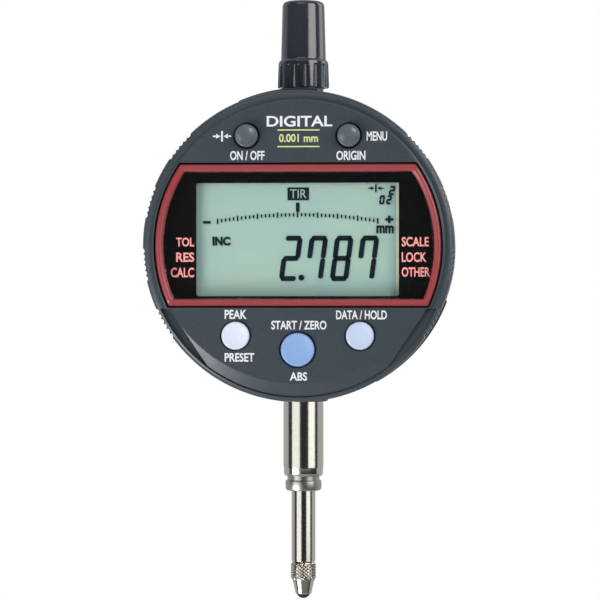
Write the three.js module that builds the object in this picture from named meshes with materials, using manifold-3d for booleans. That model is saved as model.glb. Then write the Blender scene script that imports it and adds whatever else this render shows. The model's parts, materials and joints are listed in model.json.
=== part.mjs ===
// Digital dial indicator with a turning display, in millimetres, +Z up.
//
// The origin lies on the measuring axis, halfway along the straight clamping length of the stem.
// The display looks along -Y, the spindle moves along Z, and the lug points along +Y.
import * as THREE from "three";
import { mergeVertices } from "three/addons/utils/BufferGeometryUtils.js";
import Module from "manifold-3d";

const wasm = await Module();
wasm.setup();

// ---- Driving dimensions ---------------------------------------------------------------------------------

const TRAVEL = 12.7; // measuring range of the spindle
const STEM_R = 4; // the standard 8 mm clamping stem
const SPINDLE_R = 2.38;
const SLIDE_GAP = 0.08; // radial clearance of the spindle in its bushes
const GAP = 0.3; // clearance between neighbouring pieces that touch
const CENTRE_Z = 37.5; // height of the housing's centre
const CASE_R = 30.3;
const CASE_WALL = 2;
const BEZEL_R = 30.4;
const TRAY_ANGLE = 41; // degrees below the horizontal at which the battery tray and the socket look out

// Places along the measuring axis
const TIP_Z = -32.6;
const SPINDLE_END_Z = -25.2;
const SPINDLE_TOP_Z = 71.5;
const CLAMP_END_Z = -6.6;
const STEM_END_Z = -8.1;
const NUT_Z = [-11, -8.95];
const CAP_Z = [69.35, 86.7];

// Places from front to back
const FACE_Y = -18; // raised front panel of the bezel
const BAND_Y = -17.2; // lower band round the panel
const BEZEL_REAR_Y = -7.1;
const CASE_FRONT_Y = -6.8;
const CASE_FLOOR_Y = -5;
const CASE_REAR_Y = 7.2;
const PLATE_Y = [7.8, 9.5];
const LUG_HOLE_Y = 19.5;

// The window, measured from the housing's centre
const WINDOW_R = 27.95;
const WINDOW_Z = [-11.9, 16];
const FRAME_WIDTH = 1.1;
const SCREEN_X = [-19.9, 19.4];
const SCREEN_Z = [-9.7, 13.7];

// Push buttons: where they are on the face, their radius and how far they stand out of it
const BUTTONS = {
  power_button: { x: -9.9, z: 21.25, r: 2.2, proud: 1.3, finish: "grey_key" },
  origin_button: { x: 9.9, z: 21.25, r: 2.2, proud: 1.3, finish: "grey_key" },
  peak_button: { x: -12.05, z: -17.4, r: 2.7, proud: 0.6, finish: "white_key" },
  zero_button: { x: 0, z: -20.1, r: 3.25, proud: 0.6, finish: "blue_key" },
  data_button: { x: 12.05, z: -17.4, r: 2.7, proud: 0.6, finish: "pale_blue_key" },
};

// Screws that hold the back plate, and those that hold the display together
const BACK_SCREWS = [[-7.5, 24.3], [7.5, 24.3], [-7.5, -24.3], [7.5, -24.3]];
const DISPLAY_SCREWS = [[-17, 20.5], [17, 20.5], [-19.5, -18.3], [19.5, -18.3]];
const SENSOR_SCREWS = [[-12.5, 11], [-12.5, -9.5]];

const FINE = 40; // sides of a large circle
const COARSE = 16; // sides of a small one

// ---- Finishes -------------------------------------------------------------------------------------------

const finish = (color, roughness, metalness) =>
  new THREE.MeshStandardMaterial({ color, roughness, metalness });

const FINISHES = {
  dark_plastic: finish(0x3a4048, 0.5, 0),
  case_paint: finish(0x34383e, 0.45, 0.1),
  red_trim: finish(0xc4555c, 0.4, 0),
  black_print: finish(0x0c0d0f, 0.35, 0),
  clear: finish(0xe8eeee, 0.05, 0),
  screen: finish(0x9fb5aa, 0.3, 0),
  steel: finish(0xb9b9b6, 0.2, 1),
  satin_steel: finish(0x9d9d9a, 0.35, 1),
  carbide: finish(0x2c2c2e, 0.25, 0.8),
  brass: finish(0xb8923f, 0.3, 1),
  black_rubber: finish(0x17181a, 0.8, 0),
  grey_key: finish(0x5a6268, 0.5, 0),
  white_key: finish(0xdcdff0, 0.5, 0),
  blue_key: finish(0x86aad9, 0.5, 0),
  pale_blue_key: finish(0xc3ccec, 0.5, 0),
  board: finish(0x1f5a3a, 0.5, 0),
  silicone: finish(0xc9ccd0, 0.7, 0),
  amber_film: finish(0xb06a24, 0.4, 0),
  glass_scale: finish(0x8fb0b0, 0.2, 0),
};

// ---- Solids ---------------------------------------------------------------------------------------------

// A closed geometry as a solid for cutting and joining, turned the right way out
function solid(geometry) {
  const bare = geometry.index ? geometry.toNonIndexed() : geometry.clone();
  bare.deleteAttribute("normal");
  bare.deleteAttribute("uv");
  const merged = mergeVertices(bare, 1e-4);
  const make = (triVerts) =>
    new wasm.Manifold(
      new wasm.Mesh({ numProp: 3, vertProperties: merged.attributes.position.array, triVerts }),
    );
  const triangles = new Uint32Array(merged.index.array);
  const made = make(triangles);
  return made.volume() > 0 ? made : make(triangles.reverse());
}

const box = ([x0, x1], [y0, y1], [z0, z1]) =>
  solid(
    new THREE.BoxGeometry(x1 - x0, y1 - y0, z1 - z0).translate(
      (x0 + x1) / 2,
      (y0 + y1) / 2,
      (z0 + z1) / 2,
    ),
  );

// A round bar along Y at x, z
const barY = (x, z, r, [y0, y1], sides = COARSE) =>
  solid(new THREE.CylinderGeometry(r, r, y1 - y0, sides).translate(x, (y0 + y1) / 2, z));

// A round bar along Z on the measuring axis of a group whose origin is at height z = 0
const barZ = (r, [z0, z1], sides = COARSE) =>
  solid(new THREE.CylinderGeometry(r, r, z1 - z0, sides).rotateX(Math.PI / 2).translate(0, 0, (z0 + z1) / 2));

// A round bar along X at y, z
const barX = (y, z, r, [x0, x1], sides = COARSE) =>
  solid(
    new THREE.CylinderGeometry(r, r, x1 - x0, sides).rotateZ(Math.PI / 2).translate((x0 + x1) / 2, y, z),
  );

// Points of [radius, place] turned about Y, and about Z
const turnedY = (profile, sides = FINE) =>
  solid(new THREE.LatheGeometry(profile.map(([r, y]) => new THREE.Vector2(r, y)), sides));
const turnedZ = (profile, sides = COARSE) =>
  solid(
    new THREE.LatheGeometry(profile.map(([r, z]) => new THREE.Vector2(r, z)), sides).rotateX(Math.PI / 2),
  );
const ringY = (inner, outer, [y0, y1], sides = FINE) =>
  turnedY([[inner, y0], [outer, y0], [outer, y1], [inner, y1], [inner, y0]], sides);
const ringZ = (inner, outer, [z0, z1], sides = COARSE) =>
  turnedZ([[inner, z0], [outer, z0], [outer, z1], [inner, z1], [inner, z0]], sides);

// A flat outline in X and Z, given depth along Y
const plateY = (shape, [y0, y1], curveSegments = 12) =>
  solid(
    new THREE.ExtrudeGeometry(shape, { depth: y1 - y0, bevelEnabled: false, curveSegments })
      .rotateX(Math.PI / 2)
      .translate(0, y1, 0),
  );

const join = (first, ...others) => others.reduce((all, next) => all.add(next), first);
const cut = (first, ...others) => others.reduce((rest, next) => rest.subtract(next), first);

// The window's outline: a circle cut off by a level line above and one below, all moved in by inset
function windowOutline(inset) {
  const r = WINDOW_R - inset;
  const [low, high] = [WINDOW_Z[0] + inset, WINDOW_Z[1] - inset];
  const [lowAngle, highAngle] = [Math.asin(low / r), Math.asin(high / r)];
  const shape = new THREE.Shape();
  shape.absarc(0, 0, r, lowAngle, highAngle, false);
  shape.absarc(0, 0, r, Math.PI - highAngle, Math.PI - lowAngle, false);
  shape.closePath();
  return shape;
}

// ---- The tree of groups ---------------------------------------------------------------------------------

const indicator = new THREE.Group();
const centred = new THREE.Group(); // origin at the housing's centre
centred.position.z = CENTRE_Z;
const lowerRight = new THREE.Group(); // X points out of the case at the battery tray
lowerRight.rotation.y = THREE.MathUtils.degToRad(TRAY_ANGLE);
const lowerLeft = new THREE.Group(); // X points out of the case at the data socket
lowerLeft.rotation.y = THREE.MathUtils.degToRad(180 - TRAY_ANGLE);
centred.add(lowerRight, lowerLeft);
indicator.add(centred);

function place(name, made, finishName, group = indicator) {
  const { numVert, numProp, vertProperties, triVerts } = made.getMesh();
  const positions = new Float32Array(numVert * 3);
  for (let i = 0; i < numVert; i++) {
    positions.set(vertProperties.subarray(i * numProp, i * numProp + 3), i * 3);
  }
  const geometry = new THREE.BufferGeometry()
    .setAttribute("position", new THREE.BufferAttribute(positions, 3))
    .setIndex(new THREE.BufferAttribute(triVerts, 1));
  geometry.computeVertexNormals();
  const mesh = new THREE.Mesh(geometry, FINISHES[finishName]);
  mesh.name = name;
  group.add(mesh);
}

// ---- Spaces that two pieces share ------------------------------------------------------------------------

const TRAY = { inner: 10.75, centre: 19.2, y: [1.2, 6] }; // round end's radius, the cell's place, depth
const CELL = { r: 10, y: [1.6, 4.8] };
const SOCKET = { x: [21.5, 27.9], y: [-1.2, 3.8], half: 5.5 };
const NECK = { inner: 12, outer: 14, groove: 13 };
const NECK_END_Y = -9.6;
const SHELL_Y = [-8.5, -7.3];
const BOARD_Y = [-10.9, -9.9];
const BUSH_FLANGE_Z = [58.8, 59.7];
const FLANGE_R = 4.7; // flanges of the stem and of the upper bush, inside the case

// The tray's U-shaped outline from above, grown by margin, reaching out to a distance from the centre
function trayOutline(margin, reach) {
  const r = TRAY.inner + margin;
  const shape = new THREE.Shape();
  shape.moveTo(reach, r);
  shape.lineTo(TRAY.centre, r);
  shape.absarc(TRAY.centre, 0, r, Math.PI / 2, (3 * Math.PI) / 2, false);
  shape.lineTo(reach, -r);
  shape.closePath();
  return shape;
}

// Raised pad on the case's upper edge, for a lifting lever. Angles are in degrees, from +X towards +Z.
const LEVER_PAD = { r: 31.5, angles: [84, 113.5], y: [-6.2, 5.5] };

// Turns a solid made in the lowerRight or lowerLeft group into the centred group
const turned = (made, degrees) => made.rotate([0, degrees, 0]);

// The pad stands out of the case's edge and reaches into its wall
function leverPad() {
  const { r, angles, y } = LEVER_PAD;
  const [start, end] = angles.map(THREE.MathUtils.degToRad);
  const shape = new THREE.Shape();
  shape.absarc(0, 0, r, start, end, false);
  shape.absarc(0, 0, CASE_R - CASE_WALL / 2, end, start, true);
  shape.closePath();
  return plateY(shape, y);
}

// ---- Case ------------------------------------------------------------------------------------------------

// Die-cast case: a cup open at the back, with a neck in front that the display turns on
function caseHousing() {
  const inner = CASE_R - CASE_WALL;
  const shell = turnedY([
    [NECK.inner, NECK_END_Y], [NECK.groove, NECK_END_Y], [NECK.groove, -8.7], [NECK.outer, -8.7],
    [NECK.outer, CASE_FRONT_Y], [21.3, CASE_FRONT_Y], [21.3, -5.8], [22.7, -5.8],
    [22.7, CASE_FRONT_Y], [29.7, CASE_FRONT_Y], [CASE_R, -6.2], [CASE_R, CASE_REAR_Y],
    [inner, CASE_REAR_Y], [inner, CASE_FLOOR_Y], [NECK.inner, CASE_FLOOR_Y], [NECK.inner, NECK_END_Y],
  ]);
  const root = CASE_FLOOR_Y - 0.2;
  const roundCase = barY(0, 0, CASE_R - 0.5, [root - 1, CASE_REAR_Y], FINE);
  const topBlock = box([-6.5, 6.5], [root, 6], [22.5, 30]).intersect(roundCase);
  const stemBlock = box([-7, 7], [root, 6.3], [-30, -23]).intersect(roundCase);
  const posts = BACK_SCREWS.map(([x, z]) => barY(x, z, 2.2, [root, CASE_REAR_Y], 10));
  const sensorPosts = SENSOR_SCREWS.map(([x, z]) => barY(x, z, 1.8, [root, 4.9], 10));
  const capNeck = barZ(4, [28.5, 35]);
  const stemSeat = barZ(4.9, [-30.7, -28.5]);
  const solidCase = join(shell, topBlock, stemBlock, ...posts, ...sensorPosts, leverPad(), capNeck, stemSeat);
  const screwHoles = BACK_SCREWS.map(([x, z]) => barY(x, z, 1.55, [-1, 8], 10));
  const sensorHoles = SENSOR_SCREWS.map(([x, z]) => barY(x, z, 1.1, [0.8, 6], 8));
  const traySlot = plateY(trayOutline(GAP, 33), [TRAY.y[0] - GAP, TRAY.y[1] + GAP]);
  const socketSlot = box(
    [20, 33],
    [SOCKET.y[0] - GAP, SOCKET.y[1] + GAP],
    [-SOCKET.half - GAP, SOCKET.half + GAP],
  );
  return cut(
    solidCase,
    barZ(STEM_R + GAP, [-32, -22]),
    barZ(STEM_R + GAP, [22, 29.5]),
    barZ(2.9, [29, 36]),
    turned(traySlot, TRAY_ANGLE),
    turned(socketSlot, 180 - TRAY_ANGLE),
    ...screwHoles,
    ...sensorHoles,
  );
}

// Clamping stem, put in from inside the case up to its flange
const stem = () =>
  turnedZ([
    [2.9, 5], [2.9, 16.3], [FLANGE_R, 16.3], [FLANGE_R, 14.8], [STEM_R, 14.8], [STEM_R, CLAMP_END_Z],
    [3.85, -7.9], [3.65, STEM_END_Z], [3.5, STEM_END_Z], [3.5, 5], [2.9, 5],
  ]);

// Nut in the stem's mouth; its neck shows as a groove under the stem
const stemNut = () =>
  turnedZ([
    [2.7, -5], [3.2, -5], [3.2, NUT_Z[1]], [3.35, NUT_Z[1]], [3.6, NUT_Z[1] - 0.25],
    [3.6, NUT_Z[0] + 0.35], [3.25, NUT_Z[0]], [3.15, NUT_Z[0]], [3.15, -10], [2.7, -10], [2.7, -5],
  ]);

const bore = SPINDLE_R + SLIDE_GAP;

function upperBush() {
  const [low, high] = BUSH_FLANGE_Z;
  return turnedZ([
    [bore, low], [FLANGE_R, low], [FLANGE_R, high], [STEM_R, high], [STEM_R, 66.7], [bore, 66.7], [bore, low],
  ]);
}

// Rail whose slot keeps the guide pin, and so the spindle, from turning
const guideRail = () =>
  cut(box([-9.4, -7], [-4.7, 2.6], [-9.5, 18]), box([-10, -6], [-1.15, 1.15], [-1.5, 14.5]));

const sensorBoard = () =>
  cut(
    box([-15.5, 3], [5.2, 6.4], [-13, 15]),
    ...SENSOR_SCREWS.map(([x, z]) => barY(x, z, 1.1, [5, 7], 8)),
  );

const screwY = (x, z, shank, [tip, neck], head, top) =>
  join(barY(x, z, shank, [tip, neck + 0.1], 12), barY(x, z, head, [neck, top], 20));

// Socket for the data lead, open outwards, with a row of five pins
const PINS = [-2, -1, 0, 1, 2].map((n) => n * 1.8);

function dataSocket() {
  const body = box(SOCKET.x, SOCKET.y, [-SOCKET.half, SOCKET.half]);
  const mouth = box([23, 28.5], [-0.3, 2.9], [-4.7, 4.7]);
  const pinHoles = PINS.map((z) => box([21, 24], [0.7, 1.9], [z - 0.6, z + 0.6]));
  return cut(body, mouth, ...pinHoles);
}

const dataPins = () =>
  join(
    box([20, 21.1], [1, 1.6], [-4.4, 4.4]),
    ...PINS.map((z) => box([21, 24.2], [1, 1.6], [z - 0.3, z + 0.3])),
  );

// Cover of the data socket: a plug on a flange that carries on the curve of the case
function dataCap() {
  const flange = box([28.2, 32], SOCKET.y, [-SOCKET.half, SOCKET.half]);
  const rim = barY(0, 0, CASE_R + 0.3, [-3, 6], FINE);
  return join(flange.intersect(rim), box([24.6, 28.4], [0.1, 2.5], [-4.3, 4.3]));
}

// Back plate with the fixing lug, whose hole runs along X
function lugBack() {
  const [front, rear] = PLATE_Y;
  const plate = turnedY([[0, front], [CASE_R, front], [CASE_R, rear - 0.7], [CASE_R - 0.7, rear], [0, rear]]);
  const outline = new THREE.Shape();
  outline.moveTo(-9, rear - 0.5);
  outline.quadraticCurveTo(-6.5, rear, -6.5, rear + 2.5);
  outline.lineTo(-6.5, LUG_HOLE_Y);
  outline.absarc(0, LUG_HOLE_Y, 6.5, Math.PI, 0, true);
  outline.lineTo(6.5, rear + 2.5);
  outline.quadraticCurveTo(6.5, rear, 9, rear - 0.5);
  outline.closePath();
  const lug = solid(
    new THREE.ExtrudeGeometry(outline, { depth: 5, bevelEnabled: false, curveSegments: 8 })
      .translate(0, 0, -2.5)
      .applyMatrix4(new THREE.Matrix4().set(0, 0, 1, 0, 0, 1, 0, 0, 1, 0, 0, 0, 0, 0, 0, 1)),
  );
  const screwHoles = BACK_SCREWS.flatMap(([x, z]) => [
    barY(x, z, 1.6, [7, 10], 10),
    barY(x, z, 2.6, [8.6, 10], 16),
  ]);
  return cut(join(plate, lug), barX(LUG_HOLE_Y, 0, 3.25, [-4, 4], 24), ...screwHoles);
}

// Split ring that keeps the display on the neck
const retainingRing = () =>
  cut(ringY(NECK.groove + GAP, 16.5, [-9.5, -8.8], 48), box([-1.5, 1.5], [-10, -8], [12, 18]));

// Flat cable wound inside the neck, so that the display can turn without pulling it
function flexRibbon() {
  const turns = 1.6;
  const steps = 28;
  const spiral = (offset) =>
    Array.from({ length: steps + 1 }, (_, i) => {
      const angle = (i / steps) * turns * 2 * Math.PI;
      const r = 6.6 + (3.8 * i) / steps + offset;
      return new THREE.Vector2(r * Math.cos(angle), r * Math.sin(angle));
    });
  return plateY(new THREE.Shape([...spiral(0), ...spiral(0.3).reverse()]), [-9.2, -5.6]);
}

// Compression spring round the spindle, between the carrier and the upper bush
class Helix extends THREE.Curve {
  getPoint(t) {
    const angle = t * SPRING.turns * 2 * Math.PI;
    const z = SPRING.z[0] + SPRING.wire + t * (SPRING.z[1] - SPRING.z[0] - 2 * SPRING.wire);
    return new THREE.Vector3(SPRING.r * Math.cos(angle), SPRING.r * Math.sin(angle), z);
  }
}
const SPRING = { r: 3.3, wire: 0.25, turns: 7, z: [42, 58.5] };

function returnSpring() {
  const section = new THREE.Shape();
  section.absarc(0, 0, SPRING.wire, 0, 2 * Math.PI, false);
  const options = { steps: SPRING.turns * 8, curveSegments: 3, extrudePath: new Helix() };
  return solid(new THREE.ExtrudeGeometry(section, options));
}

function placeCase() {
  place("case_housing", caseHousing(), "case_paint", centred);
  place("stem", stem(), "steel");
  place("lower_bush", ringZ(bore, 3.2, [-4.6, 4.6]), "brass");
  place("stem_nut", stemNut(), "satin_steel");
  place("spindle_wiper", ringZ(bore, 2.95, [-10.8, -10.2]), "black_rubber");
  place("upper_bush", upperBush(), "brass");
  place("stop_bumper", ringZ(2.6, 4.2, [16.6, 17.4]), "black_rubber");
  place("return_spring", returnSpring(), "steel");
  place("guide_rail", guideRail(), "satin_steel", centred);
  place("sensor_board", sensorBoard(), "board", centred);
  place("sensor_chip", box([-13, -7], [6.7, 7.4], [-4, 2]), "black_print", centred);
  SENSOR_SCREWS.forEach(([x, z], i) => {
    place(`sensor_screw_${i + 1}`, screwY(x, z, 0.8, [1.5, 6.7], 1.5, 7.4), "satin_steel", centred);
  });
  place("data_socket", dataSocket(), "black_print", lowerLeft);
  place("data_pins", dataPins(), "brass", lowerLeft);
  place("data_cap", dataCap(), "black_rubber", lowerLeft);
  place("battery_contact_negative", box([9, 18], [0.4, 0.8], [-1.5, 1.5]), "brass", lowerRight);
  place("battery_contact_positive", box([12, 20], [0.4, 0.8], [6.5, 9]), "brass", lowerRight);
  place("back_gasket", ringY(28.6, 30, [7.35, 7.65]), "black_rubber", centred);
  place("lug_back", lugBack(), "satin_steel", centred);
  BACK_SCREWS.forEach(([x, z], i) => {
    place(`back_screw_${i + 1}`, screwY(x, z, 1.25, [0, 8.9], 2.3, 9.45), "steel", centred);
  });
  const sealSection = new THREE.TorusGeometry(22, 0.5, 6, 36).rotateX(Math.PI / 2);
  place("display_seal", solid(sealSection.translate(0, -6.45, 0)), "black_rubber", centred);
  place("retaining_ring", retainingRing(), "steel", centred);
  place("flex_ribbon", flexRibbon(), "amber_film", centred);
}

// ---- Battery tray ----------------------------------------------------------------------------------------

// U-shaped tray that slides out of the case with the coin cell; its face carries on the curve of the case
function batteryTray() {
  const tray = plateY(trayOutline(0, 33), TRAY.y).intersect(barY(0, 0, CASE_R + 0.3, [-3, 9], FINE));
  return cut(tray, barY(TRAY.centre, 0, CELL.r + GAP, [0, CELL.y[1] + GAP], 32));
}

function placeTray() {
  place("battery_tray", batteryTray(), "dark_plastic", lowerRight);
  place("battery_cell", barY(TRAY.centre, 0, CELL.r, CELL.y, 32), "steel", lowerRight);
}

// ---- Spindle ---------------------------------------------------------------------------------------------

const spindle = () =>
  turnedZ([
    [1.55, SPINDLE_END_Z], [SPINDLE_R, SPINDLE_END_Z], [SPINDLE_R, SPINDLE_TOP_Z - 0.4],
    [SPINDLE_R - 0.4, SPINDLE_TOP_Z], [0, SPINDLE_TOP_Z], [0, -19], [1.55, -19.6], [1.55, SPINDLE_END_Z],
  ]);

const BALL = { r: 1.45, z: TIP_Z + 1.45 };

// Contact point: knurled grip, tapered nose with a seat for the ball, and a threaded shank
function contactPoint() {
  const top = SPINDLE_END_Z - 0.1;
  const nose = turnedZ([
    [0, -20.5], [1.25, -20.5], [1.25, top], [2.3, top], [2.45, top - 0.2], [2.45, -28.7],
    [2.2, -28.95], [1.6, -31.7], [0, -31.7],
  ]);
  return cut(nose, solid(new THREE.SphereGeometry(BALL.r + 0.1, 16, 8).translate(0, 0, BALL.z)));
}

// Block clamped on the spindle that carries the scale and the guide pin
function scaleCarrier() {
  const block = box([-4.6, 4.6], [-3.9, 3.7], [-3.5, 4]);
  const slit = box([2, 5], [-0.3, 0.3], [-4, 5]);
  return cut(block, barZ(bore, [-5, 5]), slit, barX(0, 0, 1.2, [-5, -2]), barX(2.2, 0, 1.1, [2.4, 5]));
}

function placeSpindle() {
  place("spindle", spindle(), "steel");
  place("contact_point", contactPoint(), "satin_steel");
  place("contact_ball", solid(new THREE.SphereGeometry(BALL.r, 16, 8).translate(0, 0, BALL.z)), "carbide");
  place("stop_collar", ringZ(bore, 3.4, [17.6, 19.2]), "satin_steel");
  place("scale_carrier", scaleCarrier(), "satin_steel", centred);
  place("scale_strip", box([-5.5, 2], [4, 4.8], [-19, 8]), "glass_scale", centred);
  place("guide_pin", barX(0, 0, 0.9, [-9.6, -2.6], 12), "steel", centred);
  const clampScrew = join(barX(2.2, 0, 0.8, [2.7, 5], 12), barX(2.2, 0, 1.4, [4.9, 5.8], 20));
  place("carrier_screw", clampScrew, "satin_steel", centred);
}

// ---- Display ---------------------------------------------------------------------------------------------

// Chin of the bezel: the front panel runs out to the rim at the bottom, down a wide slope
function chin() {
  const creaseUp = 1.93;
  const slope = turnedY([[0, FACE_Y], [28.6, FACE_Y], [33, -15.9], [33, -15.7], [28, -16.3], [0, -16.3]]);
  const outline = new THREE.Shape(
    [[-24.9, -12.2], [-15.5, -26], [-15.5, -31], [15.5, -31], [15.5, -26], [24.9, -12.2]].map(
      ([x, z]) => new THREE.Vector2(x, z),
    ),
  );
  return slope
    .translate([0, 0, creaseUp])
    .intersect(plateY(outline, [-19, -14]))
    .intersect(barY(0, 0, BEZEL_R - 0.2, [-19, -14], FINE));
}

function bezel() {
  const shell = turnedY([
    [0, FACE_Y], [27.9, FACE_Y], [28.2, FACE_Y + 0.3], [28.25, BAND_Y], [29.4, BAND_Y + 0.2],
    [30.1, -16.4], [BEZEL_R, -15.5], [BEZEL_R, BEZEL_REAR_Y + 0.4], [BEZEL_R - 0.4, BEZEL_REAR_Y],
    [28.7, BEZEL_REAR_Y], [28.7, -15.4], [27.8, -16.3], [0, -16.3],
  ]);
  const bosses = DISPLAY_SCREWS.map(([x, z]) => barY(x, z, 1.6, [-16.5, -11.2], 10));
  const keyHoles = Object.values(BUTTONS).map(({ x, z, r }) => barY(x, z, r + 0.27, [-20, -14], 24));
  return cut(
    join(shell, chin(), ...bosses),
    plateY(windowOutline(0), [-20, -14]),
    ...keyHoles,
    ...DISPLAY_SCREWS.map(([x, z]) => barY(x, z, 0.95, [-15, -11], 8)),
  );
}

const windowFrame = () =>
  cut(plateY(windowOutline(GAP), [-17.4, -15.9]), plateY(windowOutline(GAP + FRAME_WIDTH), [-18, -15]));

const windowMask = () =>
  cut(plateY(windowOutline(GAP), [-15.6, -15]), box(SCREEN_X, [-16, -14], SCREEN_Z));

const grown = ([low, high], by) => [low - by, high + by];

const lcdHolder = () =>
  cut(
    box(grown(SCREEN_X, 3.1), [-14.7, -11.2], [SCREEN_Z[0] - 3.5, SCREEN_Z[1] + 2.8]),
    box(grown(SCREEN_X, 1.4), [-15, -11], grown(SCREEN_Z, 1.8)),
  );

const displayBoard = () =>
  cut(
    barY(0, 0, 27.8, BOARD_Y, 36),
    barY(0, 0, 5, [-12, -9]),
    ...DISPLAY_SCREWS.map(([x, z]) => barY(x, z, 0.95, [-12, -9], 8)),
  );

// Rear shell of the display: it turns on the neck of the case
function displayBack() {
  const [front, rear] = SHELL_Y;
  const hole = NECK.outer + GAP;
  const shell = turnedY([
    [hole, front], [24.6, front], [24.6, -9.6], [28.4, -9.6], [28.4, rear], [hole, rear], [hole, front],
  ]);
  const screwHoles = DISPLAY_SCREWS.flatMap(([x, z]) => [
    barY(x, z, 0.95, [-10, -7], 8),
    barY(x, z, 1.65, [-8.7, -7], 12),
  ]);
  return cut(shell, ...screwHoles);
}

// A key: a round top with a rounded edge, and a flange behind the bezel
function button({ x, z, r, proud }) {
  const top = FACE_Y - proud;
  const key = turnedY(
    [[0, top], [r - 0.3, top], [r, top + 0.3], [r, -15.9], [r + 0.7, -15.9], [r + 0.7, -15.2], [0, -15.2]],
    20,
  );
  return key.translate([x, 0, z]);
}

function placeDisplay() {
  place("bezel", bezel(), "dark_plastic", centred);
  place("window_frame", windowFrame(), "red_trim", centred);
  place("window_lens", plateY(windowOutline(2 * GAP + FRAME_WIDTH), [-17.1, -15.9]), "clear", centred);
  place("window_mask", windowMask(), "black_print", centred);
  place("lcd_panel", box(grown(SCREEN_X, 1.1), [-14.2, -12.4], grown(SCREEN_Z, 1.5)), "screen", centred);
  place("lcd_holder", lcdHolder(), "black_print", centred);
  place("lcd_connector_upper", box([-18, 18], [-12.1, -11.2], [12.6, 14.4]), "black_rubber", centred);
  place("lcd_connector_lower", box([-18, 18], [-12.1, -11.2], [-10.8, -9]), "black_rubber", centred);
  place("keypad_upper", box([-13.5, 13.5], [-14.2, -11.2], [18.3, 24.2]), "silicone", centred);
  place("keypad_lower", box([-16, 16], [-14.2, -11.2], [-23.2, -14.4]), "silicone", centred);
  place("display_board", displayBoard(), "board", centred);
  place("display_back", displayBack(), "dark_plastic", centred);
  DISPLAY_SCREWS.forEach(([x, z], i) => {
    const head = barY(x, z, 1.35, [-8.4, -7.6], 16);
    place(`display_screw_${i + 1}`, join(head, barY(x, z, 0.65, [-14.5, -8.3], 12)), "satin_steel", centred);
  });
  Object.entries(BUTTONS).forEach(([name, key]) => place(name, button(key), key.finish, centred));
}

// ---- Cap over the spindle's upper end --------------------------------------------------------------------

// Hollow cap with a fluted skirt
function spindleCap() {
  const [low, high] = CAP_Z;
  const outside = turnedZ(
    [
      [0, low], [5.15, low], [4.92, 74.7], [4.5, 75.1], [4.2, high - 0.9], [3.7, high - 0.25],
      [2.8, high], [0, high],
    ],
    32,
  );
  const flutes = Array.from({ length: 16 }, (_, i) => {
    const angle = ((i + 0.5) / 16) * 2 * Math.PI;
    const groove = new THREE.CylinderGeometry(0.35, 0.35, 4.7, 4).rotateX(Math.PI / 2);
    return solid(groove.translate(5.15 * Math.cos(angle), 5.15 * Math.sin(angle), low + 2.2));
  });
  const hollow = turnedZ([[0, 60], [4.3, 60], [4.3, 73.3], [3, 74.6], [3, 85.2], [0, 85.2]], 32);
  return cut(outside, hollow, ...flutes);
}

placeCase();
placeTray();
placeSpindle();
placeDisplay();
place("spindle_cap", spindleCap(), "dark_plastic");

export default indicator;
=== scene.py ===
# %% [markdown]
# # A digital dial indicator
#
# A round display unit turns on a flat round case. A steel stem holds the case in a stand, and a
# sprung spindle with a knurled contact point slides through it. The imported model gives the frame:
# every piece made here takes its place from it, in metres, and rides on one of its bodies.

# %% Load the frame
import json
import math

import bpy
from mathutils import Matrix, Vector


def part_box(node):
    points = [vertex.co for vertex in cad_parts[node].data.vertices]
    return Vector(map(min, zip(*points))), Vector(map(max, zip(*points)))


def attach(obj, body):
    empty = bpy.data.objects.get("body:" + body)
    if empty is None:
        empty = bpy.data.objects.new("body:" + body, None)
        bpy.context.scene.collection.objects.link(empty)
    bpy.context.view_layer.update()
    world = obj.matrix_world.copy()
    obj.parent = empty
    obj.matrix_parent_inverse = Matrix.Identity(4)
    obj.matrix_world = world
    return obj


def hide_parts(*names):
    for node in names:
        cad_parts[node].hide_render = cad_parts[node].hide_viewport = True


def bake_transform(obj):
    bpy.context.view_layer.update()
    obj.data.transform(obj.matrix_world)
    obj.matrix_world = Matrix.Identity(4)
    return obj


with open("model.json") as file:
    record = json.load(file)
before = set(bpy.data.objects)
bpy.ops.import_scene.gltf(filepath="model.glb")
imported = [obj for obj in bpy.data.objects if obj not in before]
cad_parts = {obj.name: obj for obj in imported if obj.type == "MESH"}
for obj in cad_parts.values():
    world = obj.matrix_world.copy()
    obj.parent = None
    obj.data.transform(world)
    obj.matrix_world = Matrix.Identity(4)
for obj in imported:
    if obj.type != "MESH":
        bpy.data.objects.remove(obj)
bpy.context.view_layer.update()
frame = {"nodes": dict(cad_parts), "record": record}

MM = 0.001

# %% [markdown]
# The display is round, and nearly everything on it is placed from its centre. That centre, the
# radius and the depths come from the boxes of the CAD nodes, so that the looks follow the design.

# %% Measure the frame
bezel_low, bezel_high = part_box("bezel")
CENTRE_Z = (bezel_low.z + bezel_high.z) / 2
RIM_R = (bezel_high.x - bezel_low.x) / 2
FACE = round(bezel_low.y / MM, 3)
back_low, back_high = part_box("lug_back")
CASE_R = (back_high.x - back_low.x) / 2
print(f"rim {RIM_R / MM:.1f} mm, face at {FACE:.1f} mm, centre {CENTRE_Z / MM:.1f} mm up")

# %% [markdown]
# Modelling by hand means adding a primitive, shaping it in edit mode and finishing it with
# modifiers. These helpers keep each of those steps to one line. An operator works on whatever is
# selected, so each helper first selects only its own object.


# %% Helpers for selecting and finishing
def only(piece):
    """Makes piece the one selected and active object."""
    bpy.ops.object.select_all(action="DESELECT")
    piece.select_set(True)
    bpy.context.view_layer.objects.active = piece
    return piece


def fresh(name, add, **settings):
    """Adds a primitive with nothing else selected and names it."""
    bpy.ops.object.select_all(action="DESELECT")
    add(**settings)
    piece = bpy.context.object
    piece.name = name
    return piece


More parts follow.
